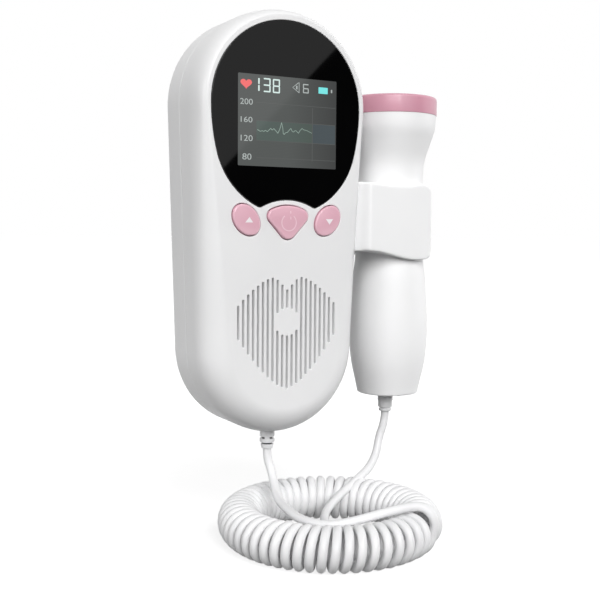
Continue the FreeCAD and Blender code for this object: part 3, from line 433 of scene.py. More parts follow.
def even_shading(mesh):
    """Smooth shading with crisp edges; the corners of a level face keep that face's own normal."""
    mesh.shade_smooth()
    mesh.set_sharp_from_angle(angle=math.radians(50))
    level = {}
    for face in mesh.polygons:
        if abs(face.normal.y) > 0.9999:
            for index in face.vertices:
                level[index] = face.normal.copy()
    normals = []
    for loop, corner in zip(mesh.loops, mesh.corner_normals):
        normal = corner.vector.copy()
        flat_normal = level.get(loop.vertex_index, normal)
        normals.append(flat_normal if flat_normal.dot(normal) > 0.7 else normal)
    mesh.normals_split_custom_set(normals)


def link(name, bm, material):
    """The finished bmesh as a shaded object."""
    bmesh.ops.remove_doubles(bm, verts=bm.verts, dist=1e-6)
    bmesh.ops.recalc_face_normals(bm, faces=bm.faces)
    mesh = bpy.data.meshes.new(name)
    bm.to_mesh(mesh)
    bm.free()
    mesh.materials.append(material)
    even_shading(mesh)
    return in_scene(name, mesh)


def add_ring(bm, loop, y):
    """A loop's vertices at one depth."""
    return [bm.verts.new((p.x, y, p.z)) for p in loop]


def bridge(bm, first, second):
    for i in range(len(first)):
        j = (i + 1) % len(first)
        bm.faces.new((first[i], first[j], second[j], second[i]))


def bridge_all(bm, rings):
    for first, second in zip(rings, rings[1:]):
        bridge(bm, first, second)


def fill(bm, rings):
    """A flat face between an outer ring and the rings of its openings."""
    verts = [v for ring in rings for v in ring]
    for corners in tessellate_polygon([[Vector((v.co.x, v.co.z, 0)) for v in ring] for ring in rings]):
        bm.faces.new([verts[i] for i in corners])


def open_edge(bm, loop, y, y_end, soft, outwards=1, steps=3, away=1):
    """Rings from a face at y, over a soft edge, and down a wall to y_end. Outwards is 1 for an opening
    and -1 for a plate's rim; away is 1 where the wall runs to greater y. Returns the end rings."""
    rings = []
    for i in range(steps + 1):
        a = math.pi / 2 * i / steps
        ring = offset_loop(loop, outwards * soft * (1 - math.sin(a)))
        rings.append(add_ring(bm, ring, y + away * soft * (1 - math.cos(a))))
    rings.append(add_ring(bm, loop, y_end))
    bridge_all(bm, rings)
    return rings[0], rings[-1]


def rolled_edge(bm, level, depth, pull_top, pull_bottom, steps, wall=0.0):
    """Rings from the side wall, over a quarter roll of one depth, to a level face."""
    rings = []
    for step in range(steps + 1):
        a = math.pi / 2 * step / steps
        pull = 1 - math.cos(a)
        outline = casing_loop(wall + pull_top * pull, wall + pull_bottom * pull)
        rings.append(add_ring(bm, outline, level + depth * (1 - math.sin(a))))
    return rings


def heart_top(x):
    shoulder_x, shoulder_z, fall, half = 0.0052, -0.0168, 0.0085, 0.0121
    notch_z, notch_rise = -0.0207, 0.93
    beyond = max(abs(x) - shoulder_x, 0)
    return min(shoulder_z - fall * (beyond / half) ** 1.5, notch_z + notch_rise * abs(x))


def heart_bottom(x):
    point_z, rise, half = -0.0526, 0.0165, 0.0173
    return point_z + rise * (abs(x) / half) ** 1.53


def slot_lines():
    """One upright line for each slot, from its low end to its high end."""
    count, pitch, disc_r, disc_z = 21, 0.001727, 0.0044, -0.031
    lines = []
    for i in range(count):
        x = (i - (count - 1) / 2) * pitch
        low, high = heart_bottom(x), heart_top(x)
        if abs(x) < disc_r:
            half = math.sqrt(disc_r ** 2 - x ** 2)
            lines += [(x, low, disc_z - half), (x, disc_z + half, high)]
        else:
            lines.append((x, low, high))
    return lines


def geometry_tree(name, inputs):
    """A tree that takes and gives a mesh, and has named inputs; returns it and its input sockets."""
    kinds = {int: "NodeSocketInt", float: "NodeSocketFloat", type(None): "NodeSocketMaterial"}
    tree = bpy.data.node_groups.new(name, "GeometryNodeTree")
    for side in ("INPUT", "OUTPUT"):
        tree.interface.new_socket("Geometry", in_out=side, socket_type="NodeSocketGeometry")
    for label, value in inputs.items():
        made = tree.interface.new_socket(label, in_out="INPUT", socket_type=kinds[type(value)])
        if value is not None:
            made.default_value = value
    return tree, node(tree, "NodeGroupInput").outputs


def slot_tree():
    """Geometry nodes that draw a round-ended slot outline along every line of the given mesh."""
    tree, given = geometry_tree("slot outlines",
                                {"Slot width": SLOT_WIDTH, "End steps": SLOT_END_STEPS})
    ends = node(tree, "GeometryNodeInputMeshEdgeVertices").outputs
    run = node(tree, "ShaderNodeVectorMath", [(0, ends["Position 1"]), (1, ends["Position 2"])],
               operation="DISTANCE")
    kept = node(tree, "GeometryNodeCaptureAttribute", domain="EDGE")
    kept.capture_items.new("FLOAT", "Run")
    feed(tree, kept, [("Geometry", given["Geometry"]), ("Run", run.outputs["Value"])])
    middles = node(tree, "GeometryNodeMeshToPoints", [("Mesh", kept)], mode="EDGES")
    size = node(tree, "ShaderNodeCombineXYZ",
                [("X", given["Slot width"]), ("Y", kept.outputs["Run"]), ("Z", 1.0)])
    square = node(tree, "GeometryNodeCurvePrimitiveQuadrilateral", [("Width", 1.0), ("Height", 1.0)])
    placed = node(tree, "GeometryNodeInstanceOnPoints",
                  [("Points", middles), ("Instance", square), ("Scale", size)])
    real = node(tree, "GeometryNodeRealizeInstances", [("Geometry", placed)])
    rounded = node(tree, "GeometryNodeFilletCurve",
                   [("Curve", real), ("Radius", maths(tree, "MULTIPLY", given["Slot width"], 0.499)),
                    ("Count", given["End steps"])], mode="POLY")
    wire = node(tree, "GeometryNodeCurveToMesh", [("Curve", rounded)])
    node(tree, "NodeGroupOutput", [("Geometry", wire)])
    return tree


def as_mesh(carrier):
    """The mesh of an object with its modifiers applied; the object itself is removed."""
    graph = bpy.context.evaluated_depsgraph_get()
    made = bpy.data.meshes.new_from_object(carrier.evaluated_get(graph), depsgraph=graph)
    bpy.data.objects.remove(carrier)
    return made


def run_tree(tree, mesh, **sizes):
    """The mesh that a geometry tree makes from a mesh, with its named inputs set."""
    carrier = in_scene("carrier", mesh)
    modifier = carrier.modifiers.new("tree", "NODES")
    modifier.node_group = tree
    for item in tree.interface.items_tree:
        key = item.name.replace(" ", "_").lower()
        if item.in_out == "INPUT" and key in sizes:
            modifier[item.identifier] = sizes[key]
    return as_mesh(carrier)


def closed_loops(mesh):
    """The mesh's closed lines, each as an anticlockwise loop of points on the face."""
    bm = bmesh.new()
    bm.from_mesh(mesh)
    left = dict.fromkeys(bm.verts)
    loops = []
    while left:
        loop = [next(iter(left))]
        del left[loop[0]]
        while True:
            onward = [edge.other_vert(loop[-1]) for edge in loop[-1].link_edges]
            onward = [vert for vert in onward if vert in left]
            if not onward:
                break
            del left[onward[0]]
            loop.append(onward[0])
        points = [Vector((v.co.x, 0, v.co.y)) for v in loop]
        area = sum(a.x * b.z - b.x * a.z for a, b in zip(points, points[1:] + points[:1]))
        loops.append(points if area > 0 else points[::-1])
    bm.free()
    return loops


line_mesh = bpy.data.meshes.new("slot lines")
slot_ends = [p for x, low, high in slot_lines() for p in ((x, low, 0), (x, high, 0))]
line_mesh.from_pydata(slot_ends, [(i, i + 1) for i in range(0, len(slot_ends), 2)], [])
slot_loops = closed_loops(run_tree(slot_tree(), line_mesh, slot_width=SLOT_WIDTH,
                                   end_steps=SLOT_END_STEPS))

white_gloss = moulded_plastic("white_gloss_plastic", (0.815, 0.815, 0.82), (0.845, 0.845, 0.848), 0.42,
                              grain=0.0011, depth=0.0000015, mottle=0.03, coat=0.12)

bm = bmesh.new()
roll = rolled_edge(bm, FACE, FRONT_ROLL, FRONT_PULL_TOP, FRONT_PULL_BOTTOM, FRONT_ROLL_STEPS)[::-1]
for inset, gap in seam_edge + [(CASE_WALL, 0.0)]:
    roll.append(add_ring(bm, casing_loop(inset, inset), SEAM - gap))
roll += rolled_edge(bm, FACE_INSIDE, INSIDE_ROLL, INSIDE_PULL_TOP, INSIDE_PULL_BOTTOM,
                    INSIDE_ROLL_STEPS, wall=CASE_WALL)
bridge_all(bm, roll)
outer_rings = [roll[0]]
inner_rings = [roll[-1]]
key_holes = [(offset_loop(key, KEY_GAP), KEY_HOLE_EDGE, 3)
             for key in (power_loop(), volume_loop(-1), volume_loop(1))]
for loop, edge, steps in key_holes + [(slot, SLOT_EDGE, 2) for slot in slot_loops]:
    first, last = open_edge(bm, loop, FACE, FACE_INSIDE, edge, steps=steps)
    outer_rings.append(first)
    inner_rings.append(last)
lens_edge, lens_floor = open_edge(bm, offset_loop(lens_loop(), LENS_GAP), FACE, FACE + LENS_SEAT,
                                  BROKEN_EDGE)
outer_rings.append(lens_edge)
display_hole = rounded_rectangle(-0.0187, 0.0187, 0.0168, 0.0472, 0.0008)
hole_top = add_ring(bm, display_hole, FACE + LENS_SEAT)
hole_low = add_ring(bm, display_hole, FACE_INSIDE)
bridge(bm, hole_top, hole_low)
fill(bm, [lens_floor, hole_top])
fill(bm, outer_rings)
fill(bm, inner_rings + [hole_low])
front_cover = link("front_cover", bm, white_gloss)
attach(front_cover, "unit")
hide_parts("front_shell")

# ---- back cover ------------------------------------------------------------------------------------
# The rear half of the casing in the same white ABS, closed on the front cover at a fine seam. Its flat
# back takes four screws in deep pockets, and a sunk seat for the battery door over the cells' bay.
BACK_ROLL = 0.005
BACK_ROLL_STEPS = 14
BACK_PULL = 0.005
INSIDE_BACK_ROLL = 0.007
INSIDE_BACK_STEPS = 8
INSIDE_BACK_PULL = 0.0065
BACK_INSIDE = -0.0022
SEAT_DEPTH = -0.0017
BAY_FLOOR = -0.0174
BAY_WALL = 0.0013
SCREW_POCKET = -0.0050
SCREW_POCKET_RADIUS = 0.0023
SCREW_POCKET_STEPS = 32
HOOK_X = 0.009
HOOK_NOTCH_HALF = 0.0029
screw_places = [(-0.012, 0.0545), (0.012, 0.0545), (-0.014, -0.050), (0.014, -0.050)]
door_opening = rounded_rectangle(-0.017, 0.017, -0.031, 0.030, 0.003)


def bay_loop():
    """The bay's mouth, with two notches at its upper edge for the door's hooks."""
    half, low, high, notch_top = 0.0152, -0.0285, 0.0270, 0.0297
    corners = [(half, low), (half, high)]
    for x in (HOOK_X, -HOOK_X):
        right, left = x + HOOK_NOTCH_HALF, x - HOOK_NOTCH_HALF
        corners += [(right, high), (right, notch_top), (left, notch_top), (left, high)]
    return corners_at(*corners, (-half, high), (-half, low))


bm = bmesh.new()
roll = [add_ring(bm, casing_loop(inset, inset), SEAM + gap)
        for inset, gap in [(CASE_WALL, 0.0)] + seam_edge[::-1]]
roll += rolled_edge(bm, 0.0, -BACK_ROLL, BACK_PULL, BACK_PULL, BACK_ROLL_STEPS)
inside = [roll[0]] + rolled_edge(bm, BACK_INSIDE, -INSIDE_BACK_ROLL, INSIDE_BACK_PULL, INSIDE_BACK_PULL,
                                 INSIDE_BACK_STEPS, wall=CASE_WALL)
bridge_all(bm, roll)
bridge_all(bm, inside)
seat_edge, seat_floor = open_edge(bm, door_opening, 0.0, SEAT_DEPTH, BROKEN_EDGE, away=-1)
bay_mouth, bay_floor = open_edge(bm, bay_loop(), SEAT_DEPTH, BAY_FLOOR, 0.0001, steps=1, away=-1)
back_rings = [roll[-1], seat_edge]
for x, z in screw_places:
    pocket = arc_through((x, z), SCREW_POCKET_RADIUS, 0, 360, SCREW_POCKET_STEPS)[:-1]
    mouth, pit = open_edge(bm, pocket, 0.0, SCREW_POCKET, BROKEN_EDGE, away=-1)
    back_rings.append(mouth)
    fill(bm, [pit])
fill(bm, back_rings)
fill(bm, [seat_floor, bay_mouth])
fill(bm, [bay_floor])
box_outside = rounded_rectangle(-0.0165, 0.0165, -0.0298, 0.0310, 0.0004)
box_mouth = add_ring(bm, box_outside, BACK_INSIDE)
box_end = add_ring(bm, box_outside, BAY_FLOOR - BAY_WALL)
bridge(bm, box_mouth, box_end)
fill(bm, [inside[-1], box_mouth])
fill(bm, [box_end])
back_cover = link("back_cover", bm, white_gloss)
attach(back_cover, "unit")
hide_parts("back_shell")


# ---- battery door ----------------------------------------------------------------------------------
# A flat ABS door flush with the back. Two hooks at its top tuck under the cover, and a tongue freed by
# two slits snaps it shut; a row of ridges gives the thumb a hold.
DOOR_LOW = -0.0308
DOOR_THICK = 0.0016
HOOK_HALF = 0.0025
SLIT_X = 0.005
SLIT_HALF = 0.0004
SLIT_TOP = -0.022
RIDGE_PITCH = 0.0013


def door_loop():
    """The door's outline, with the two slits that free its tongue."""
    loop = rounded_rectangle(-0.0168, 0.0168, DOOR_LOW, 0.0298, 0.0028)
    for x in (-SLIT_X, SLIT_X):
        loop.append(Vector((x - SLIT_HALF, 0, DOOR_LOW)))
        loop += arc_through((x, SLIT_TOP), SLIT_HALF, 180, 0, 4)
        loop.append(Vector((x + SLIT_HALF, 0, DOOR_LOW)))
    return loop


def add_block(bm, x0, x1, y0, y1, z0, z1, edge=0.0002):
    """A plain block with its edges broken."""
    made = bmesh.ops.create_cube(bm, size=1.0)["verts"]
    for v in made:
        v.co = Vector(((x0 + x1) / 2 + v.co.x * (x1 - x0), (y0 + y1) / 2 + v.co.y * (y1 - y0),
                       (z0 + z1) / 2 + v.co.z * (z1 - z0)))
    edges = list({e for v in made for e in v.link_edges})
    bmesh.ops.bevel(bm, geom=edges, offset=edge, segments=2, affect="EDGES")


def finish_tree(tree, given, shape, **placing):
    """Ends a tree: a shape on each vertex of the given mesh, made real, in the given material."""
    placed = node(tree, "GeometryNodeInstanceOnPoints",
                  [("Points", given["Geometry"]), ("Instance", shape), *placing.items()])
    real = node(tree, "GeometryNodeRealizeInstances", [("Geometry", placed)])
    skin = node(tree, "GeometryNodeSetMaterial", [("Geometry", real), ("Material", given["Material"])])
    node(tree, "NodeGroupOutput", [("Geometry", skin)])
    return tree


def ridge_tree():
    """Geometry nodes that set a row of round-backed ridges, one on each vertex of the given mesh."""
    tree, given = geometry_tree("ridges", {"Length": 0.0066, "Radius": 0.00036, "Material": None})
    halves = [maths(tree, "MULTIPLY", given["Length"], side) for side in (-0.5, 0.5)]
    start, end = [node(tree, "ShaderNodeCombineXYZ", [("X", half)]) for half in halves]
    line = node(tree, "GeometryNodeCurvePrimitiveLine", [("Start", start), ("End", end)])
    ring = node(tree, "GeometryNodeCurvePrimitiveCircle",
                [("Radius", given["Radius"]), ("Resolution", 12)])
    ridge = node(tree, "GeometryNodeCurveToMesh",
                 [("Curve", line), ("Profile Curve", ring), ("Fill Caps", True)])
    return finish_tree(tree, given, ridge)


bm = bmesh.new()
door_face, door_back = open_edge(bm, door_loop(), 0.0, -DOOR_THICK, 0.0002, outwards=-1, away=-1)
fill(bm, [door_face])
fill(bm, [door_back])
for x in (-HOOK_X, HOOK_X):
    add_block(bm, x - HOOK_HALF, x + HOOK_HALF, -0.0033, -0.0015, 0.0274, 0.0292)
    add_block(bm, x - HOOK_HALF, x + HOOK_HALF, -0.0033, -0.00235, 0.0275, 0.0319)
battery_door = link("door_panel", bm, white_gloss)
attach(battery_door, "battery_door")
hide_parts("battery_door")

ridge_mesh = bpy.data.meshes.new("ridge places")
ridge_mesh.from_pydata([(0, -0.00028, -0.0282 + RIDGE_PITCH * i) for i in range(5)], [], [])
door_ridges = in_scene("door_ridges", run_tree(ridge_tree(), ridge_mesh, length=0.0066, radius=0.00036,
                                               material=white_gloss))
door_ridges.data.shade_smooth()
door_ridges.data.set_sharp_from_angle(angle=math.radians(50))
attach(door_ridges, "battery_door")


# ---- display lens ----------------------------------------------------------------------------------
# A flat sheet of glossy acrylic, black all over but for the clear window, let into the front cover.
LENS_FRONT = -0.02995
LENS_BACK = -0.02875
SCREEN_HALF = 0.01752
SCREEN_LOW = 0.017985
SCREEN_HIGH = 0.046015

black_acrylic = moulded_plastic("black_acrylic", (0.0012, 0.0012, 0.0013), (0.0018, 0.0018, 0.0019),
                                0.03, grain=0.02, depth=0.0000004, mottle=0.03)
bm = bmesh.new()
clear_window = rounded_rectangle(-SCREEN_HALF, SCREEN_HALF, SCREEN_LOW, SCREEN_HIGH, 0.0003, steps=3)
rim_front, rim_back = open_edge(bm, lens_loop(), LENS_FRONT, LENS_BACK, 0.0002, outwards=-1)
pane_front, pane_back = open_edge(bm, clear_window, LENS_FRONT, LENS_BACK, 0.00003, steps=1)
fill(bm, [rim_front, pane_front])
fill(bm, [rim_back, pane_back])
lens = link("lens_sheet", bm, black_acrylic)
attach(lens, "unit")
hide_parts("display_lens")


# ---- display ---------------------------------------------------------------------------------------
# A 1.8 inch colour display, lit, just under the clear window. It shows a heart and the rate, the
# loudness and the charge above a graph with four scale marks, a shaded normal band and the trace.
SCREEN_FACE = -0.02990
SCREEN_THICK = 0.0009
INK = 0.000012


def lit_glass(name, far, near, fall):
    """A lit display behind glass: a glow that falls away across the screen, in fine lines of pixels."""
    material, tree, shader = new_material(name)
    place = object_place(tree)
    apart = node(tree, "ShaderNodeSeparateXYZ", [("Vector", place)])
    across = maths(tree, "MULTIPLY_ADD", apart.outputs["X"], fall, 0.5)
    shade = two_tones(tree, across, near, far, start=0.5)
    rows = node(tree, "ShaderNodeTexWave", [("Vector", place), ("Scale", 700.0)], bands_direction="Z")
    dim = ranged(tree, rows.outputs["Fac"], 0.94, 1.0)
    light = node(tree, "ShaderNodeVectorMath", [(0, shade), ("Scale", dim)], operation="SCALE")
    feed(tree, shader, [("Emission Color", light), ("Emission Strength", 1.0),
                        ("Base Color", (0.002, 0.002, 0.002, 1)), ("Roughness", 0.05)])
    return material


def lettering(bm, text, x0, x1, z0, z1):
    """Numerals fitted to a box on the screen, in millimetres."""
    data = bpy.data.curves.new("numerals", "FONT")
    data.body = text
    data.resolution_u = 4
    data.extrude = INK
    carrier = in_scene("numerals", data)
    mesh = bpy.data.meshes.new_from_object(carrier)
    bpy.data.objects.remove(carrier)
    xs = [v.co.x for v in mesh.vertices]
    ys = [v.co.y for v in mesh.vertices]
    for v in mesh.vertices:
        across = (v.co.x - min(xs)) / (max(xs) - min(xs))
        up = (v.co.y - min(ys)) / (max(ys) - min(ys))
        v.co = Vector(((x0 + across * (x1 - x0)) / 1000, SCREEN_FACE - 3 * INK - v.co.z,
                       (z0 + up * (z1 - z0)) / 1000))
    bm.from_mesh(mesh)


def show(name, glow, loops, layers=3, back=SCREEN_FACE, texts=()):
    """Flat figures on the display, some layers of ink thick; the thicker ones cover the others."""
    bm = bmesh.new()
    for loop in loops:
        rings = [add_ring(bm, loop, y) for y in (SCREEN_FACE - layers * INK, back)]
        bridge(bm, *rings)
        for ring in rings:
            fill(bm, [ring])
    for text in texts:
        lettering(bm, *text)
    made = link(name, bm, glow)
    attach(made, "unit")


def bar(x0, x1, z0, z1):
    return corners_at((x0, z0), (x1, z0), (x1, z1), (x0, z1))


def stroke(points, width):
    """A loop round a thin line through points."""
    left, right = [], []
    for i, here in enumerate(points):
        before, after = points[max(i - 1, 0)], points[min(i + 1, len(points) - 1)]
        along = (after - before).normalized()
        out = Vector((along.z, 0, -along.x)) * width / 2
        right.append(here + out)
        left.append(here - out)
    return right + left[::-1]


screen_glow = lit_glass("screen_glow", (0.060, 0.062, 0.062), (0.100, 0.107, 0.104), 28.0)
show("screen_picture", screen_glow, [clear_window], layers=0, back=SCREEN_FACE + SCREEN_THICK)

GRAPH_LEFT = -0.0112
GRAPH_RIGHT = 0.0172
GRAPH_NOW = 0.0089
LINE_HALF = 0.00008
band_green = lit_glass("band_green", (0.075, 0.095, 0.082), (0.098, 0.125, 0.115), 30.0)
band_blue = lit_glass("band_blue", (0.078, 0.095, 0.104), (0.078, 0.095, 0.104), 10.0)
for name, x0, x1, glow in (("band_left", GRAPH_LEFT, GRAPH_NOW, band_green),
                           ("band_right", GRAPH_NOW, GRAPH_RIGHT, band_blue)):
    show(name, glow, [bar(x0, x1, 0.0258, 0.0319)], layers=1, back=SCREEN_FACE + INK)

grid_grey = lit_glass("grid_grey", (0.105, 0.11, 0.108), (0.115, 0.12, 0.118), 10.0)
grid = [bar(GRAPH_LEFT, GRAPH_RIGHT, z - LINE_HALF, z + LINE_HALF)
        for z in (0.0375, 0.0320, 0.0259, 0.0206)]
show("graph_lines", grid_grey, grid + [bar(0.00865, 0.00885, 0.0202, 0.0370)], layers=2)

TRACE_WIDTH = 0.00018
# The trace's corners, in millimetres.
trace_points = [(-10.9, 29.2), (-9.9, 28.7), (-9.1, 28.9), (-8.6, 28.7), (-8.1, 29.1), (-7.4, 28.7),
                (-6.25, 29.8), (-5.7, 29.3), (-5.1, 29.8), (-4.3, 29.0), (-3.7, 28.4), (-3.0, 29.8),
                (-2.4, 31.8), (-1.95, 30.0), (-1.8, 28.6), (-1.5, 28.1), (-1.0, 28.7), (-0.3, 28.9),
                (0.9, 30.2), (1.4, 29.3), (1.9, 29.1), (2.4, 29.6), (2.9, 29.5), (3.65, 28.8),
                (4.3, 29.8), (5.0, 30.4), (5.6, 30.0), (6.8, 29.8), (8.55, 29.1)]
trace_glow = lit_glass("trace_glow", (0.19, 0.24, 0.22), (0.33, 0.43, 0.38), 30.0)
trace = [Vector((x / 1000, 0, z / 1000)) for x, z in trace_points]
show("graph_trace", trace_glow, [stroke(pair, TRACE_WIDTH) for pair in zip(trace, trace[1:])])


def segments(digit, x, z, width, height, thick):
    """The bars of a seven-segment numeral with its lower left corner at x, z."""
    lit = {"1": "bc", "3": "abgcd", "8": "abcdefg", "6": "afgecd"}[digit]
    mid, gap = height / 2, thick * 0.25
    bars = {"a": (gap, width - gap, height - thick, height), "d": (gap, width - gap, 0, thick),
            "g": (gap, width - gap, mid - thick / 2, mid + thick / 2),
            "b": (width - thick, width, mid + gap, height - gap),
            "c": (width - thick, width, gap, mid - gap),
            "f": (0, thick, mid + gap, height - gap), "e": (0, thick, gap, mid - gap)}
    return [rounded_rectangle(x + x0, x + x1, z + z0, z + z1, thick * 0.45, steps=3)
            for x0, x1, z0, z1 in (bars[key] for key in lit)]


rate_glow = lit_glass("rate_glow", (0.62, 0.80, 0.76), (0.72, 0.88, 0.84), 10.0)
rate = [("1", -0.01215, 0.04085, 0.0020, 0.0042, 0.00050),
        ("3", -0.00885, 0.04080, 0.0025, 0.0043, 0.00042),
        ("8", -0.00555, 0.04075, 0.0025, 0.0043, 0.00042)]
show("rate_numerals", rate_glow, [loop for numeral in rate for loop in segments(*numeral)])

mark_glow = lit_glass("mark_glow", (0.38, 0.42, 0.41), (0.46, 0.50, 0.49), 10.0)
cone_mouth = corners_at((0.0038, 0.0415), (0.0015, 0.0430), (0.0036, 0.0446))
loudness = segments("6", 0.00520, 0.04150, 0.0021, 0.0029, 0.00034)
loudness += [stroke(cone_mouth, 0.00022), bar(0.0037, 0.0039, 0.0414, 0.0447),
             bar(0.0027, 0.0032, 0.0425, 0.0436)]
charge_tip = rounded_rectangle(0.0155, 0.0160, 0.0423, 0.0433, 0.0001)
show("scale_marks", mark_glow, loudness + [charge_tip],
     texts=[("200", -16.8, -12.5, 36.6, 38.4), ("160", -16.6, -12.6, 31.2, 32.9),
            ("120", -16.6, -12.5, 25.5, 27.3), ("80", -16.0, -12.9, 19.8, 21.7)])

charge_glow = lit_glass("charge_glow", (0.20, 0.80, 0.80), (0.22, 0.84, 0.82), 10.0)
show("charge_sign", charge_glow, [rounded_rectangle(0.0109, 0.0143, 0.0418, 0.0438, 0.0002)])

HEART_MIDDLE = (-0.01475, 0.04300)
HEART_HALVES = (0.00195, 0.00165)
heart_red = lit_glass("heart_red", (0.86, 0.14, 0.15), (0.92, 0.17, 0.17), 10.0)
heart = []
for i in range(48):
    t = 2 * math.pi * i / 48
    u = math.sin(t) ** 3
    v = (13 * math.cos(t) - 5 * math.cos(2 * t) - 2 * math.cos(3 * t) - math.cos(4 * t)) / 16
    heart.append(Vector((HEART_MIDDLE[0] - HEART_HALVES[0] * u, 0,
                         HEART_MIDDLE[1] + HEART_HALVES[1] * v)))
show("heart_sign", heart_red, [heart])


# ---- keys ------------------------------------------------------------------------------------------
# Three pink ABS keys stand a little proud of the face, slightly domed, with soft edges and a collar
# inside that keeps them in. The middle one bears the power sign, the outer ones small arrows.
KEY_PROUD = 0.00066
KEY_DOME = 0.00024
KEY_DOME_RINGS = 12
KEY_EDGE = 0.00055
KEY_EDGE_STEPS = 5
COLLAR_REACH = 0.0008
COLLAR_FRONT = FACE_INSIDE + 0.0003
COLLAR_BACK = FACE_INSIDE + 0.0011
SIGN_HALF = 0.00003
BOW_STEPS = 28

pink_gloss = moulded_plastic("pink_gloss_plastic", (0.77, 0.445, 0.53), (0.80, 0.47, 0.555), 0.2,
                             grain=0.0011, depth=0.0000035, mottle=0.02, coat=0.3)
pink_light = moulded_plastic("pink_sign_ink", (0.86, 0.60, 0.67), (0.89, 0.64, 0.70), 0.3)
white_ink = moulded_plastic("white_sign_ink", (0.86, 0.80, 0.82), (0.90, 0.85, 0.87), 0.35)


def key_cap(name, loop, middle, body):
    """A domed cap from its outline, with its collar behind the face."""
    bm = bmesh.new()
    rings = [add_ring(bm, loop, COLLAR_FRONT)]
    for step in range(KEY_EDGE_STEPS + 1):
        a = math.pi / 2 * step / KEY_EDGE_STEPS
        ring = offset_loop(loop, -KEY_EDGE * (1 - math.cos(a)))
        rings.append(add_ring(bm, ring, FACE - KEY_PROUD + KEY_EDGE * (1 - math.sin(a))))
    rim = [v.co.copy() for v in rings[-1]]
    centre = Vector((middle[0], 0, middle[1]))
    for step in range(1, KEY_DOME_RINGS):
        share = 1 - step / KEY_DOME_RINGS
        y = FACE - KEY_PROUD - KEY_DOME * (1 - share ** 2)
        rings.append(add_ring(bm, [centre.lerp(p, share) for p in rim], y))
    bridge_all(bm, rings)
    tip = bm.verts.new((middle[0], FACE - KEY_PROUD - KEY_DOME, middle[1]))
    for a, b in zip(rings[-1], rings[-1][1:] + rings[-1][:1]):
        bm.faces.new((a, b, tip))
    collar, collar_low = [add_ring(bm, offset_loop(loop, COLLAR_REACH), y)
                          for y in (COLLAR_FRONT, COLLAR_BACK)]
    bridge_all(bm, [rings[0], collar, collar_low])
    fill(bm, [collar_low])
    made = link(name, bm, pink_gloss)
    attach(made, body)
    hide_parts(body)
    return made


def sign_on(name, key, shapes, material, body):
    """A thin printed sign that follows a key's dome."""
    surface = BVHTree.FromPolygons([v.co for v in key.data.vertices],
                                   [p.vertices for p in key.data.polygons])
    bm = bmesh.new()
    for shape in shapes:
        heights = [surface.ray_cast(Vector((p.x, -0.05, p.z)), Vector((0, 1, 0)))[0].y for p in shape]
        rings = [[bm.verts.new((p.x, y + lift, p.z)) for p, y in zip(shape, heights)]
                 for lift in (-SIGN_HALF, SIGN_HALF)]
        bridge(bm, *rings)
        for ring in rings:
            fill(bm, [ring])
    made = link(name, bm, material)
    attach(made, body)


def bow(centre, radius, width, first, last):
    """A stroke along part of a circle."""
    inner = arc_through(centre, radius - width / 2, first, last, BOW_STEPS)
    outer = arc_through(centre, radius + width / 2, last, first, BOW_STEPS)
    return inner + outer


VOLUME_X, VOLUME_Z = VOLUME_MIDDLE
power_key = key_cap("power_key", power_loop(), (0, 0.0018), "power_button")
up_key = key_cap("up_key", volume_loop(-1), (-VOLUME_X, VOLUME_Z), "volume_up_button")
down_key = key_cap("down_key", volume_loop(1), (VOLUME_X, VOLUME_Z), "volume_down_button")
power_sign = [bow((0, 0.0006), 0.0026, 0.00032, 128, 412), bar(0.00045, 0.00075, 0.0016, 0.0043)]
up_arrow = corners_at((-0.0154, 0.0005), (-0.0127, 0.0005), (-0.01395, 0.0022))
down_arrow = corners_at((0.0135, 0.00185), (0.0149, 0.0001), (0.0162, 0.00185))
sign_on("power_sign", power_key, power_sign, pink_light, "power_button")
sign_on("up_sign", up_key, [up_arrow], white_ink, "volume_up_button")
sign_on("down_sign", down_key, [down_arrow], white_ink, "volume_down_button")


# ---- speaker ---------------------------------------------------------------------------------------
# A 36 mm speaker behind the heart: a pressed steel basket, a paper cone and a magnet, with a woven
# dust cloth across its front that shows grey through the slots.
WAVE_STEP = 0.314
METAL_GRAIN = 0.0004


def dress(material, *names):
    """Gives CAD nodes that stay as they are their finish."""
    for name in names:
        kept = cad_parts[name]
        if not kept.material_slots:
            kept.data.materials.append(material)
        for holder in kept.material_slots:
            holder.material = material


def woven_cloth(name, thread, gap, pitch):
    """Fine crossed threads, light over dark, with their bulge in the bump."""
    material, tree, shader = new_material(name)
    place = object_place(tree)
    warp, weft = [node(tree, "ShaderNodeTexWave", [("Vector", place), ("Scale", WAVE_STEP / pitch)],
                       bands_direction=direction) for direction in ("X", "Z")]
    both = maths(tree, "MULTIPLY", warp.outputs["Fac"], weft.outputs["Fac"])
    bulge = node(tree, "ShaderNodeBump", [("Height", both), ("Distance", 0.00006)])
    feed(tree, shader, [("Base Color", two_tones(tree, both, gap, thread)), ("Normal", bulge),
                        ("Roughness", 0.9)])
    return material


def rolled_metal(name, dark, light, roughness, stretch=12):
    """Sheet or turned metal: fine streaks drawn upwards, in tone and gloss."""
    material, tree, shader = new_material(name)
    drawn = node(tree, "ShaderNodeMapping",
                 [("Vector", object_place(tree)), ("Scale", (1, 1, 1 / stretch))])
    streaks = noise(tree, drawn, METAL_GRAIN, 4.0)
    feed(tree, shader, [("Base Color", two_tones(tree, streaks, dark, light, 0.3, 0.7)),
                        ("Roughness", ranged(tree, streaks, roughness * 0.8, roughness * 1.2)),
                        ("Metallic", 1.0)])
    return material


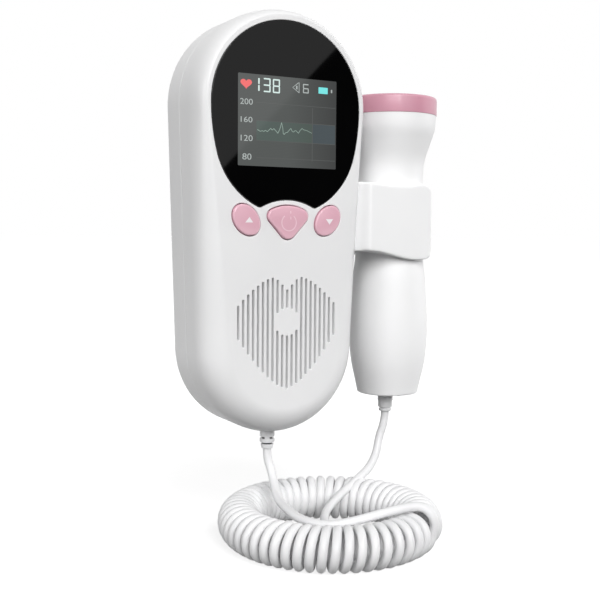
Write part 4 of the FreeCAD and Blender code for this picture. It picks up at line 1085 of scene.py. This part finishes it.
dust_cloth = woven_cloth("grey_dust_cloth", (0.34, 0.34, 0.345), (0.20, 0.20, 0.205), 0.00045)
pressed_steel = rolled_metal("pressed_steel", (0.50, 0.50, 0.51), (0.62, 0.62, 0.63), 0.35)
cone_paper = moulded_plastic("black_cone_paper", (0.02, 0.02, 0.02), (0.05, 0.048, 0.045), 0.9,
                             grain=0.0004, depth=0.00005, mottle=0.001)
magnet_nickel = rolled_metal("magnet_nickel", (0.42, 0.41, 0.39), (0.55, 0.54, 0.52), 0.3)
dress(dust_cloth, "grille_mesh")
dress(pressed_steel, "speaker_frame")
dress(cone_paper, "speaker_cone")
dress(magnet_nickel, "speaker_magnet")


# ---- board -----------------------------------------------------------------------------------------
# A green glass-fibre board with its chips and three metal-domed key switches, and the white frame that
# holds the display on it. The probe has a narrow board of its own.
def solder_mask(name):
    """Glossy green lacquer over faint copper tracks in both directions."""
    material, tree, shader = new_material(name)
    tracks = node(tree, "ShaderNodeTexBrick",
                  [("Vector", object_place(tree)), ("Scale", 220.0), ("Mortar Size", 0.06),
                   ("Color1", (0.008, 0.085, 0.035, 1)), ("Color2", (0.010, 0.105, 0.042, 1)),
                   ("Mortar", (0.030, 0.180, 0.080, 1))])
    bump = node(tree, "ShaderNodeBump", [("Height", tracks.outputs["Fac"]), ("Distance", 0.00003)])
    feed(tree, shader, [("Base Color", tracks), ("Normal", bump), ("Roughness", 0.25)])
    return material


board_lacquer = solder_mask("green_board_lacquer")
chip_resin = moulded_plastic("black_chip_resin", (0.012, 0.012, 0.013), (0.022, 0.022, 0.024), 0.55,
                             grain=0.0003, depth=0.00001)
switch_steel = rolled_metal("switch_steel", (0.60, 0.60, 0.60), (0.72, 0.72, 0.71), 0.25)
frame_white = moulded_plastic("frame_white_plastic", (0.70, 0.70, 0.69), (0.76, 0.76, 0.75), 0.45)
dress(board_lacquer, "main_board", "probe_board")
dress(chip_resin, "board_chips")
dress(switch_steel, "key_switches")
dress(frame_white, "lcd_frame")


# ---- cells and contacts ----------------------------------------------------------------------------
# Two AA cells side by side, head to tail, in printed film sleeves with bare steel ends, between
# nickel-plated contact springs.
CELL_NUB = 0.001
CELL_STEEL = (0.55, 0.55, 0.56)
FILM_BLUE = (0.05, 0.16, 0.34)
FILM_GREY = (0.62, 0.62, 0.60)


def film_sleeve(name, low, high, lower, upper, upper_from):
    """A cell's printed film: two plain colours along its length, and bare metal at both ends."""
    material, tree, shader = new_material(name)
    place = object_place(tree)
    apart = node(tree, "ShaderNodeSeparateXYZ", [("Vector", place)])
    along = ranged(tree, apart.outputs["Z"], 0.0, 1.0, low, high)
    tone = two_tones(tree, along, CELL_STEEL, CELL_STEEL, end=0.98)
    tone.color_ramp.interpolation = "CONSTANT"
    for position, colour in ((0.02, lower), (upper_from, upper)):
        tone.color_ramp.elements.new(position).color = (*colour, 1)
    gloss = ranged(tree, noise(tree, place, 1 / 900), 0.22, 0.34)
    feed(tree, shader, [("Base Color", tone), ("Roughness", gloss), ("Metallic", 0.6)])
    return material


left_low, left_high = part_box("battery_cell_left")
right_low, right_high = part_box("battery_cell_right")
sleeve_left = film_sleeve("cell_sleeve_left", left_low[2], left_high[2] - CELL_NUB,
                          FILM_BLUE, FILM_GREY, 0.70)
sleeve_right = film_sleeve("cell_sleeve_right", right_low[2] + CELL_NUB, right_high[2],
                           FILM_GREY, FILM_BLUE, 0.30)
contact_nickel = rolled_metal("contact_nickel", (0.62, 0.60, 0.56), (0.74, 0.72, 0.68), 0.28)
dress(sleeve_left, "battery_cell_left")
dress(sleeve_right, "battery_cell_right")
dress(contact_nickel, "battery_contacts")


# ---- headphone jack --------------------------------------------------------------------------------
# A black 3.5 mm socket in the top of the casing, with its round nose flush in the hole.
jack_black = moulded_plastic("black_jack_plastic", (0.012, 0.012, 0.013), (0.020, 0.020, 0.022), 0.4)
dress(jack_black, "headphone_jack")


# ---- screws ----------------------------------------------------------------------------------------
# Zinc-plated cross-head screws: four deep in the back's pockets hold the covers together, four hold the
# board on its posts, and two come through the side wall into the clip.
def screw_tree():
    """Geometry nodes that set a cross-head screw on each vertex, its head towards the back."""
    tree, size = geometry_tree("cross-head screws", {
        "Head radius": 0.0021, "Head height": 0.00165, "Shank radius": 0.001, "Shank length": 0.0146,
        "Cross width": 0.0005, "Cross depth": 0.0007, "Material": None})

    def times(value, factor):
        return maths(tree, "MULTIPLY", value, factor)

    def lifted(mesh, height):
        up = node(tree, "ShaderNodeCombineXYZ", [("Z", height)])
        return node(tree, "GeometryNodeTransform", [("Geometry", mesh), ("Translation", up)])

    head = node(tree, "GeometryNodeMeshCone",
                [("Radius Bottom", size["Head radius"]), ("Depth", size["Head height"]),
                 ("Radius Top", times(size["Head radius"], 0.86)), ("Vertices", 32)])
    cut = node(tree, "GeometryNodeMeshBoolean", [("Mesh 1", head)], operation="DIFFERENCE")
    for wide, narrow in (("X", "Y"), ("Y", "X")):
        extent = node(tree, "ShaderNodeCombineXYZ",
                      [(wide, times(size["Head radius"], 1.1)), (narrow, size["Cross width"]),
                       ("Z", times(size["Cross depth"], 2.0))])
        arm = node(tree, "GeometryNodeMeshCube", [("Size", extent)])
        feed(tree, cut, [("Mesh 2", lifted(arm, size["Head height"]))])
    shank = node(tree, "GeometryNodeMeshCylinder",
                 [("Radius", size["Shank radius"]), ("Depth", size["Shank length"]), ("Vertices", 20)])
    hang = times(maths(tree, "ADD", size["Shank length"], -0.0002), -0.5)
    whole = node(tree, "GeometryNodeJoinGeometry",
                 [("Geometry", cut), ("Geometry", lifted(shank, hang))])
    return finish_tree(tree, size, whole, Rotation=(-math.pi / 2, 0, 0))


zinc_plate = rolled_metal("zinc_plated_steel", (0.46, 0.46, 0.47), (0.60, 0.60, 0.61), 0.28, stretch=1)
dress(zinc_plate, "board_screws", "clip_screws")
seats = bpy.data.meshes.new("screw seats")
seats.from_pydata([(x, SCREW_POCKET, z) for x, z in screw_places], [], [])
casing_screws = in_scene("cover_screws", run_tree(
    screw_tree(), seats, head_radius=0.0021, head_height=0.00165, shank_radius=0.001,
    shank_length=0.0146, cross_width=0.0005, cross_depth=0.0007, material=zinc_plate))
casing_screws.data.shade_smooth()
casing_screws.data.set_sharp_from_angle(angle=math.radians(40))
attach(casing_screws, "unit")
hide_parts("casing_screws")


# ---- strain reliefs --------------------------------------------------------------------------------
# Soft white PVC sleeves moulded on the cord's two ends: a collar held inside the shell's hole, a plain
# neck, and two grooves that let the end bend.
def soften(profile, radius):
    """A profile of radius and height with its corners rounded."""
    points = [Vector(p) for p in profile]
    out = [points[0]]
    for before, here, after in zip(points, points[1:], points[2:]):
        cut = min(radius, (here - before).length * 0.45, (after - here).length * 0.45)
        a = here + (before - here).normalized() * cut
        b = here + (after - here).normalized() * cut
        out += [a.lerp(here, t).lerp(here.lerp(b, t), t) for t in (0, 0.25, 0.5, 0.75, 1)]
    return out + [points[-1]]


def turn_on_axis(bm, profile, x, y, steps=96, closed=False):
    """Faces swept round an upright axis. A closed profile is a wall; an open one ends on the axis."""
    angles = [2 * math.pi * i / steps for i in range(steps)]
    rings = []
    for radius, height in profile:
        if radius < 1e-7:
            rings.append([bm.verts.new((x, y, height))])
        else:
            rings.append([bm.verts.new((x + radius * math.cos(a), y + radius * math.sin(a), height))
                          for a in angles])
    for a, b in zip(rings, rings[1:] + rings[:1] if closed else rings[1:]):
        for i in range(steps):
            j = (i + 1) % steps
            corners = [a[i % len(a)], a[j % len(a)], b[j % len(b)], b[i % len(b)]]
            bm.faces.new(list(dict.fromkeys(corners)))


def turned(name, profile, axis, material, **how):
    """A shaded object swept round an upright axis."""
    bm = bmesh.new()
    turn_on_axis(bm, profile, *axis, **how)
    return link(name, bm, material)


UNIT_SLEEVE_AXIS = (0.0, -0.0164)
PROBE_SLEEVE_AXIS = (0.0485, -0.0150)
SLEEVE_ROUND = 0.00018
SLEEVE_STEPS = 48
GROOVE_TOP = -0.0705
GROOVE_LOW = -0.0712
WEB_HALF = 0.00085
WEB_REACH = 0.0024
WEB_TURN = math.radians(-27)
unit_profile = [(0, -0.0643), (0.0037, -0.0643), (0.0037, -0.0654), (0.0019, -0.0654),
                (0.0019, -0.0680), (0.0025, -0.0680), (0.0025, GROOVE_TOP), (0.0017, GROOVE_TOP),
                (0.0017, GROOVE_LOW), (0.0025, GROOVE_LOW), (0.0025, -0.0724), (0.00165, -0.0724),
                (0.00165, -0.0730), (0.0022, -0.0730), (0.0019, -0.0745), (0, -0.0745)]
probe_profile = [(0, -0.0562), (0.0039, -0.0562), (0.0039, -0.0575), (0.0027, -0.0575),
                 (0.0027, -0.0625), (0.0025, -0.0625), (0.0025, -0.0649), (0.0019, -0.0649),
                 (0.0019, -0.0655), (0.0023, -0.0655), (0.0022, -0.0663), (0, -0.0663)]


def soft_pvc(name):
    return moulded_plastic(name, (0.80, 0.80, 0.81), (0.85, 0.85, 0.855), 0.42, grain=0.001)


def paint_groove_shade(material, axis, dark_to, light_from):
    """Paints shade on a sleeve's plastic near its axis, which is down in its grooves."""
    tree = material.node_tree
    skin = tree.nodes["Principled BSDF"].inputs["Base Color"]
    tone = skin.links[0].from_socket
    from_axis = node(tree, "ShaderNodeVectorMath",
                     [(0, object_place(tree)), (1, (1, 1, 0)), (2, (-axis[0], -axis[1], 0))],
                     operation="MULTIPLY_ADD")
    radius = node(tree, "ShaderNodeVectorMath", [(0, from_axis)], operation="LENGTH")
    # Painted shade: the plastic's tone is scaled down near the axis, in the grooves.
    clear = ranged(tree, radius.outputs["Value"], 0.04, 1.0, dark_to, light_from)
    shaded = node(tree, "ShaderNodeVectorMath", [(0, tone), ("Scale", clear)], operation="SCALE")
    tree.links.new(shaded.outputs["Vector"], skin)
    return material


# The unit's sleeve, with painted shade down in its grooves.
pvc_painted_groove_shade = paint_groove_shade(soft_pvc("grooved_white_pvc"), UNIT_SLEEVE_AXIS, 0.00172, 0.00188)
bm = bmesh.new()
turn_on_axis(bm, soften(unit_profile, SLEEVE_ROUND), *UNIT_SLEEVE_AXIS, steps=SLEEVE_STEPS)
round_part = list(bm.verts)
add_block(bm, -WEB_HALF, WEB_HALF, UNIT_SLEEVE_AXIS[1] - WEB_REACH, UNIT_SLEEVE_AXIS[1] + WEB_REACH,
          GROOVE_LOW, GROOVE_TOP, edge=0.0001)
web = [v for v in bm.verts if v not in round_part]
bmesh.ops.rotate(bm, cent=(*UNIT_SLEEVE_AXIS, 0), matrix=Matrix.Rotation(WEB_TURN, 3, "Z"), verts=web)
unit_sleeve = link("unit_sleeve", bm, pvc_painted_groove_shade)
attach(unit_sleeve, "unit")
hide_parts("lead_relief")

probe_sleeve = turned("probe_sleeve", soften(probe_profile, SLEEVE_ROUND), PROBE_SLEEVE_AXIS,
                      soft_pvc("soft_white_pvc"), steps=SLEEVE_STEPS)
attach(probe_sleeve, "probe")
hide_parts("probe_relief")


# ---- probe clip ------------------------------------------------------------------------------------
# A white ABS bracket screwed on from inside the casing: a hollow root against the casing's flank and
# two jaws that close round the probe's waist. All its edges are rounded.
# The probe's and clip's white ABS: lighter than the casing's white, and raised further as painted light
# where the lamps leave the probe short.
probe_white_with_painted_light = moulded_plastic("bright_gloss_plastic", (0.915, 0.915, 0.92), (0.945, 0.945, 0.948), 0.4,
                               grain=0.0011, depth=0.0000015, mottle=0.03, coat=0.12)

clip_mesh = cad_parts["probe_clip"].data.copy()
clip_mesh.materials.clear()
bm = bmesh.new()
bm.from_mesh(clip_mesh)
bmesh.ops.remove_doubles(bm, verts=bm.verts, dist=1e-5)
bmesh.ops.recalc_face_normals(bm, faces=bm.faces)
bm.to_mesh(clip_mesh)
bm.free()
clip_blank = in_scene("clip blank", clip_mesh)
even = clip_blank.modifiers.new("even mesh", "REMESH")
even.mode = "VOXEL"
even.voxel_size = 0.00032
ease = clip_blank.modifiers.new("round edges", "SMOOTH")
ease.factor = 0.5
ease.iterations = 24
clip = in_scene("clip_bracket", as_mesh(clip_blank))
clip.data.materials.append(probe_white_with_painted_light)
clip.data.shade_smooth()
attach(clip, "unit")
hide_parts("probe_clip")


# ---- probe -----------------------------------------------------------------------------------------
# The ultrasound probe: a turned-looking handle and flared head in white ABS, glued at the waist under
# the clip, a pink cap pressed on the head, and a pale domed acoustic window set in the cap.
PROBE_AXIS = (0.0493, -0.0150)
PROBE_WALL = 0.0018
CAP_RADIUS = 0.0160
DOME_RADIUS = 0.0134
DOME_EDGE = 0.0441
DOME_RISE = 0.0006
SLEEVE_HOLE_REACH = 0.0035
FLOW_STEPS = 8


def flowing(points):
    """A smooth line through points (radius, height)."""
    points = [Vector(p) for p in points]
    padded = [points[0] * 2 - points[1]] + points + [points[-1] * 2 - points[-2]]
    out = [points[0]]
    for a, b, c, d in zip(padded, padded[1:], padded[2:], padded[3:]):
        for i in range(1, FLOW_STEPS + 1):
            t = i / FLOW_STEPS
            out.append(0.5 * (2 * b + (c - a) * t + (2 * a - 5 * b + 4 * c - d) * t ** 2
                              + (3 * b - a - 3 * c + d) * t ** 3))
    return out


def inwards(points, wall):
    return [Vector((p.x - wall, p.y)) for p in points]


head_curve = flowing([(0.0158, 0.0383), (0.0154, 0.0335), (0.01385, 0.0286), (0.0121, 0.0230),
                      (0.0116, 0.0176), (0.0116, 0.0020)])
grip_curve = flowing([(0.0116, 0.0020), (0.0121, -0.0110), (0.0131, -0.0205), (0.0139, -0.0355),
                      (0.0133, -0.0470), (0.0110, -0.0581)])
butt = soften([(0.0110, -0.0581), (0.0108, -0.0594), (0.0027, -0.0594), (0.0027, -0.0576)], 0.0012)

head = turned("probe_flare", head_curve + inwards(head_curve, PROBE_WALL)[::-1], PROBE_AXIS,
              probe_white_with_painted_light, closed=True)
bm = bmesh.new()
inside_grip = inwards(grip_curve, PROBE_WALL)
inside_grip[-1] = Vector((0.0082, -0.0576))
turn_on_axis(bm, grip_curve + butt[1:] + inside_grip[::-1], *PROBE_AXIS, closed=True)
for v in bm.verts:
    if math.hypot(v.co.x - PROBE_AXIS[0], v.co.y - PROBE_AXIS[1]) < SLEEVE_HOLE_REACH:
        v.co.x += PROBE_SLEEVE_AXIS[0] - PROBE_AXIS[0]
handle = link("probe_grip", bm, probe_white_with_painted_light)
for made, cad in ((head, "probe_head"), (handle, "probe_handle")):
    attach(made, "probe")
    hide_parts(cad)

pink_rim = moulded_plastic("pink_rim_plastic", (0.63, 0.30, 0.385), (0.66, 0.32, 0.405), 0.3,
                           grain=0.0011, depth=0.0000035, mottle=0.02, coat=0.2)
crown = soften([(CAP_RADIUS, 0.0405), (CAP_RADIUS, 0.0445), (0.0135, 0.0445)], 0.0022)
cap_profile = soften([(0.0144, 0.0383), (CAP_RADIUS, 0.0383), (CAP_RADIUS, 0.0405)], 0.0003) + crown[1:]
cap_profile += [Vector((0.0135, 0.0415)), Vector((0.0144, 0.0415))]
cap = turned("probe_rim", cap_profile, PROBE_AXIS, pink_rim, closed=True)
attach(cap, "probe")
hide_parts("probe_cap")

dome = [(0, 0.0420), (DOME_RADIUS, 0.0420), (DOME_RADIUS, DOME_EDGE)]
dome += [(DOME_RADIUS * (1 - t), DOME_EDGE + DOME_RISE * (1 - (1 - t) ** 2))
         for t in (i / 16 for i in range(1, 17))]
acoustic_rubber = moulded_plastic("pale_acoustic_rubber", (0.62, 0.62, 0.61), (0.68, 0.68, 0.665), 0.35,
                                  grain=0.0006, depth=0.00001, mottle=0.004)
acoustic_window = turned("acoustic_window", dome, PROBE_AXIS, acoustic_rubber)
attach(acoustic_window, "probe")
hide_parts("acoustic_face")

piezo_silver = rolled_metal("silvered_ceramic", (0.62, 0.61, 0.58), (0.72, 0.71, 0.68), 0.4, stretch=1)
backing_resin = moulded_plastic("filled_backing_resin", (0.05, 0.048, 0.045), (0.09, 0.087, 0.083), 0.7,
                                grain=0.0004, depth=0.00003, mottle=0.002)
dress(piezo_silver, "piezo_transmitter", "piezo_receiver")
dress(backing_resin, "backing_block")


# ---- studio ----------------------------------------------------------------------------------------
# A pale floor and a white backdrop seen by the camera and by reflections; four large soft lamps, from
# above the front, beside the camera, the left and the right; a grey and a black card, seen only in
# gloss, that give the black lens its diagonal glare.
FLOOR_DROP = 0.0001
FLOOR_REACH = 12.0
FLOOR_SEEN = 0.50
FLOOR_UNSEEN = 0.02
GLOW_NEAR = 0.76
GLOW_NEAR_TO = 0.11
GLOW_FULL_FROM = 0.20
CARD_Y = -0.8
CARD_SLANT = -0.26
card_left, card_right, card_high = -0.10, 0.95, 0.75
LAMP_SIZE = 1.4
LAMP_AIM = Vector((0, 0, -0.02))


def seen_ray(tree):
    """1 for rays that see the background directly, in gloss or by transmission, 0 for all others."""
    rays = node(tree, "ShaderNodeLightPath").outputs
    direct = maths(tree, "MAXIMUM", rays["Is Camera Ray"], rays["Is Glossy Ray"])
    return maths(tree, "MAXIMUM", direct, rays["Is Transmission Ray"])


def flat_card(name, corners, material):
    mesh = bpy.data.meshes.new(name)
    mesh.from_pydata(corners, [], [range(len(corners))])
    mesh.materials.append(material)
    made = in_scene(name, mesh)
    return made


def card_paint(name, radiance):
    """A card that only shows as a reflection, at one brightness."""
    material, tree, shader = new_material(name)
    tree.nodes.remove(shader)
    glow = node(tree, "ShaderNodeEmission", [("Color", (radiance, radiance, radiance, 1))])
    feed(tree, tree.nodes["Material Output"], [("Surface", glow)])
    return material


floor_paint, paint_tree, floor_shader = new_material("floor_paint")
seen = seen_ray(paint_tree)
away = node(paint_tree, "ShaderNodeVectorMath", [(0, object_place(paint_tree))], operation="LENGTH")
rise = ranged(paint_tree, away.outputs["Value"], GLOW_NEAR, 1.0, GLOW_NEAR_TO, GLOW_FULL_FROM)
feed(paint_tree, floor_shader,
     [("Base Color", ranged(paint_tree, seen, FLOOR_UNSEEN, FLOOR_SEEN)), ("Roughness", 0.9),
      ("Specular IOR Level", 0.0), ("Emission Color", (1, 1, 1, 1)),
      ("Emission Strength", maths(paint_tree, "MULTIPLY", seen, rise))])
floor_z = cad_low[2] - FLOOR_DROP
floor_corners = [(x * FLOOR_REACH, y * FLOOR_REACH, floor_z)
                 for x, y in ((-1, -1), (1, -1), (1, 1), (-1, 1))]
flat_card("floor", floor_corners, floor_paint)

world = bpy.data.worlds.new("studio")
bpy.context.scene.world = world
world.use_nodes = True
sky = world.node_tree
feed(sky, sky.nodes["Background"], [("Color", (1, 1, 1, 1)), ("Strength", seen_ray(sky))])

slant_low = (card_left, card_left + CARD_SLANT)
slant_high = (card_high - CARD_SLANT, card_high)
grey_corners = [slant_low, slant_high, (card_left, card_high)]
black_corners = [slant_low, (card_right, slant_low[1]), (card_right, card_high), slant_high]
for name, corners, radiance in (("grey_card", grey_corners, 0.55),
                                ("black_card", black_corners, 0.002)):
    card = flat_card(name, [(x, CARD_Y, z) for x, z in corners], card_paint(name + "_paint", radiance))
    card.visible_camera = False
    card.visible_diffuse = False
    card.visible_shadow = False
    card.visible_transmission = False

for name, place, power, in_gloss in (("main lamp", (0, -1.9, 1.1), 32, True),
                                     ("camera side lamp", (-0.9, -1.7, 1.1), 22, True),
                                     ("left lamp", (-2.2, -0.1, 0.3), 22, True),
                                     ("right lamp", (2.2, -0.3, 0.4), 26, False)):
    light = bpy.data.lights.new(name, "AREA")
    light.shape = "SQUARE"
    light.size = LAMP_SIZE
    light.energy = power
    lamp = in_scene(name, light)
    lamp.location = place
    lamp.rotation_euler = (LAMP_AIM - lamp.location).to_track_quat("-Z", "Y").to_euler()
    lamp.visible_glossy = in_gloss
bpy.context.scene.view_settings.view_transform = "Standard"
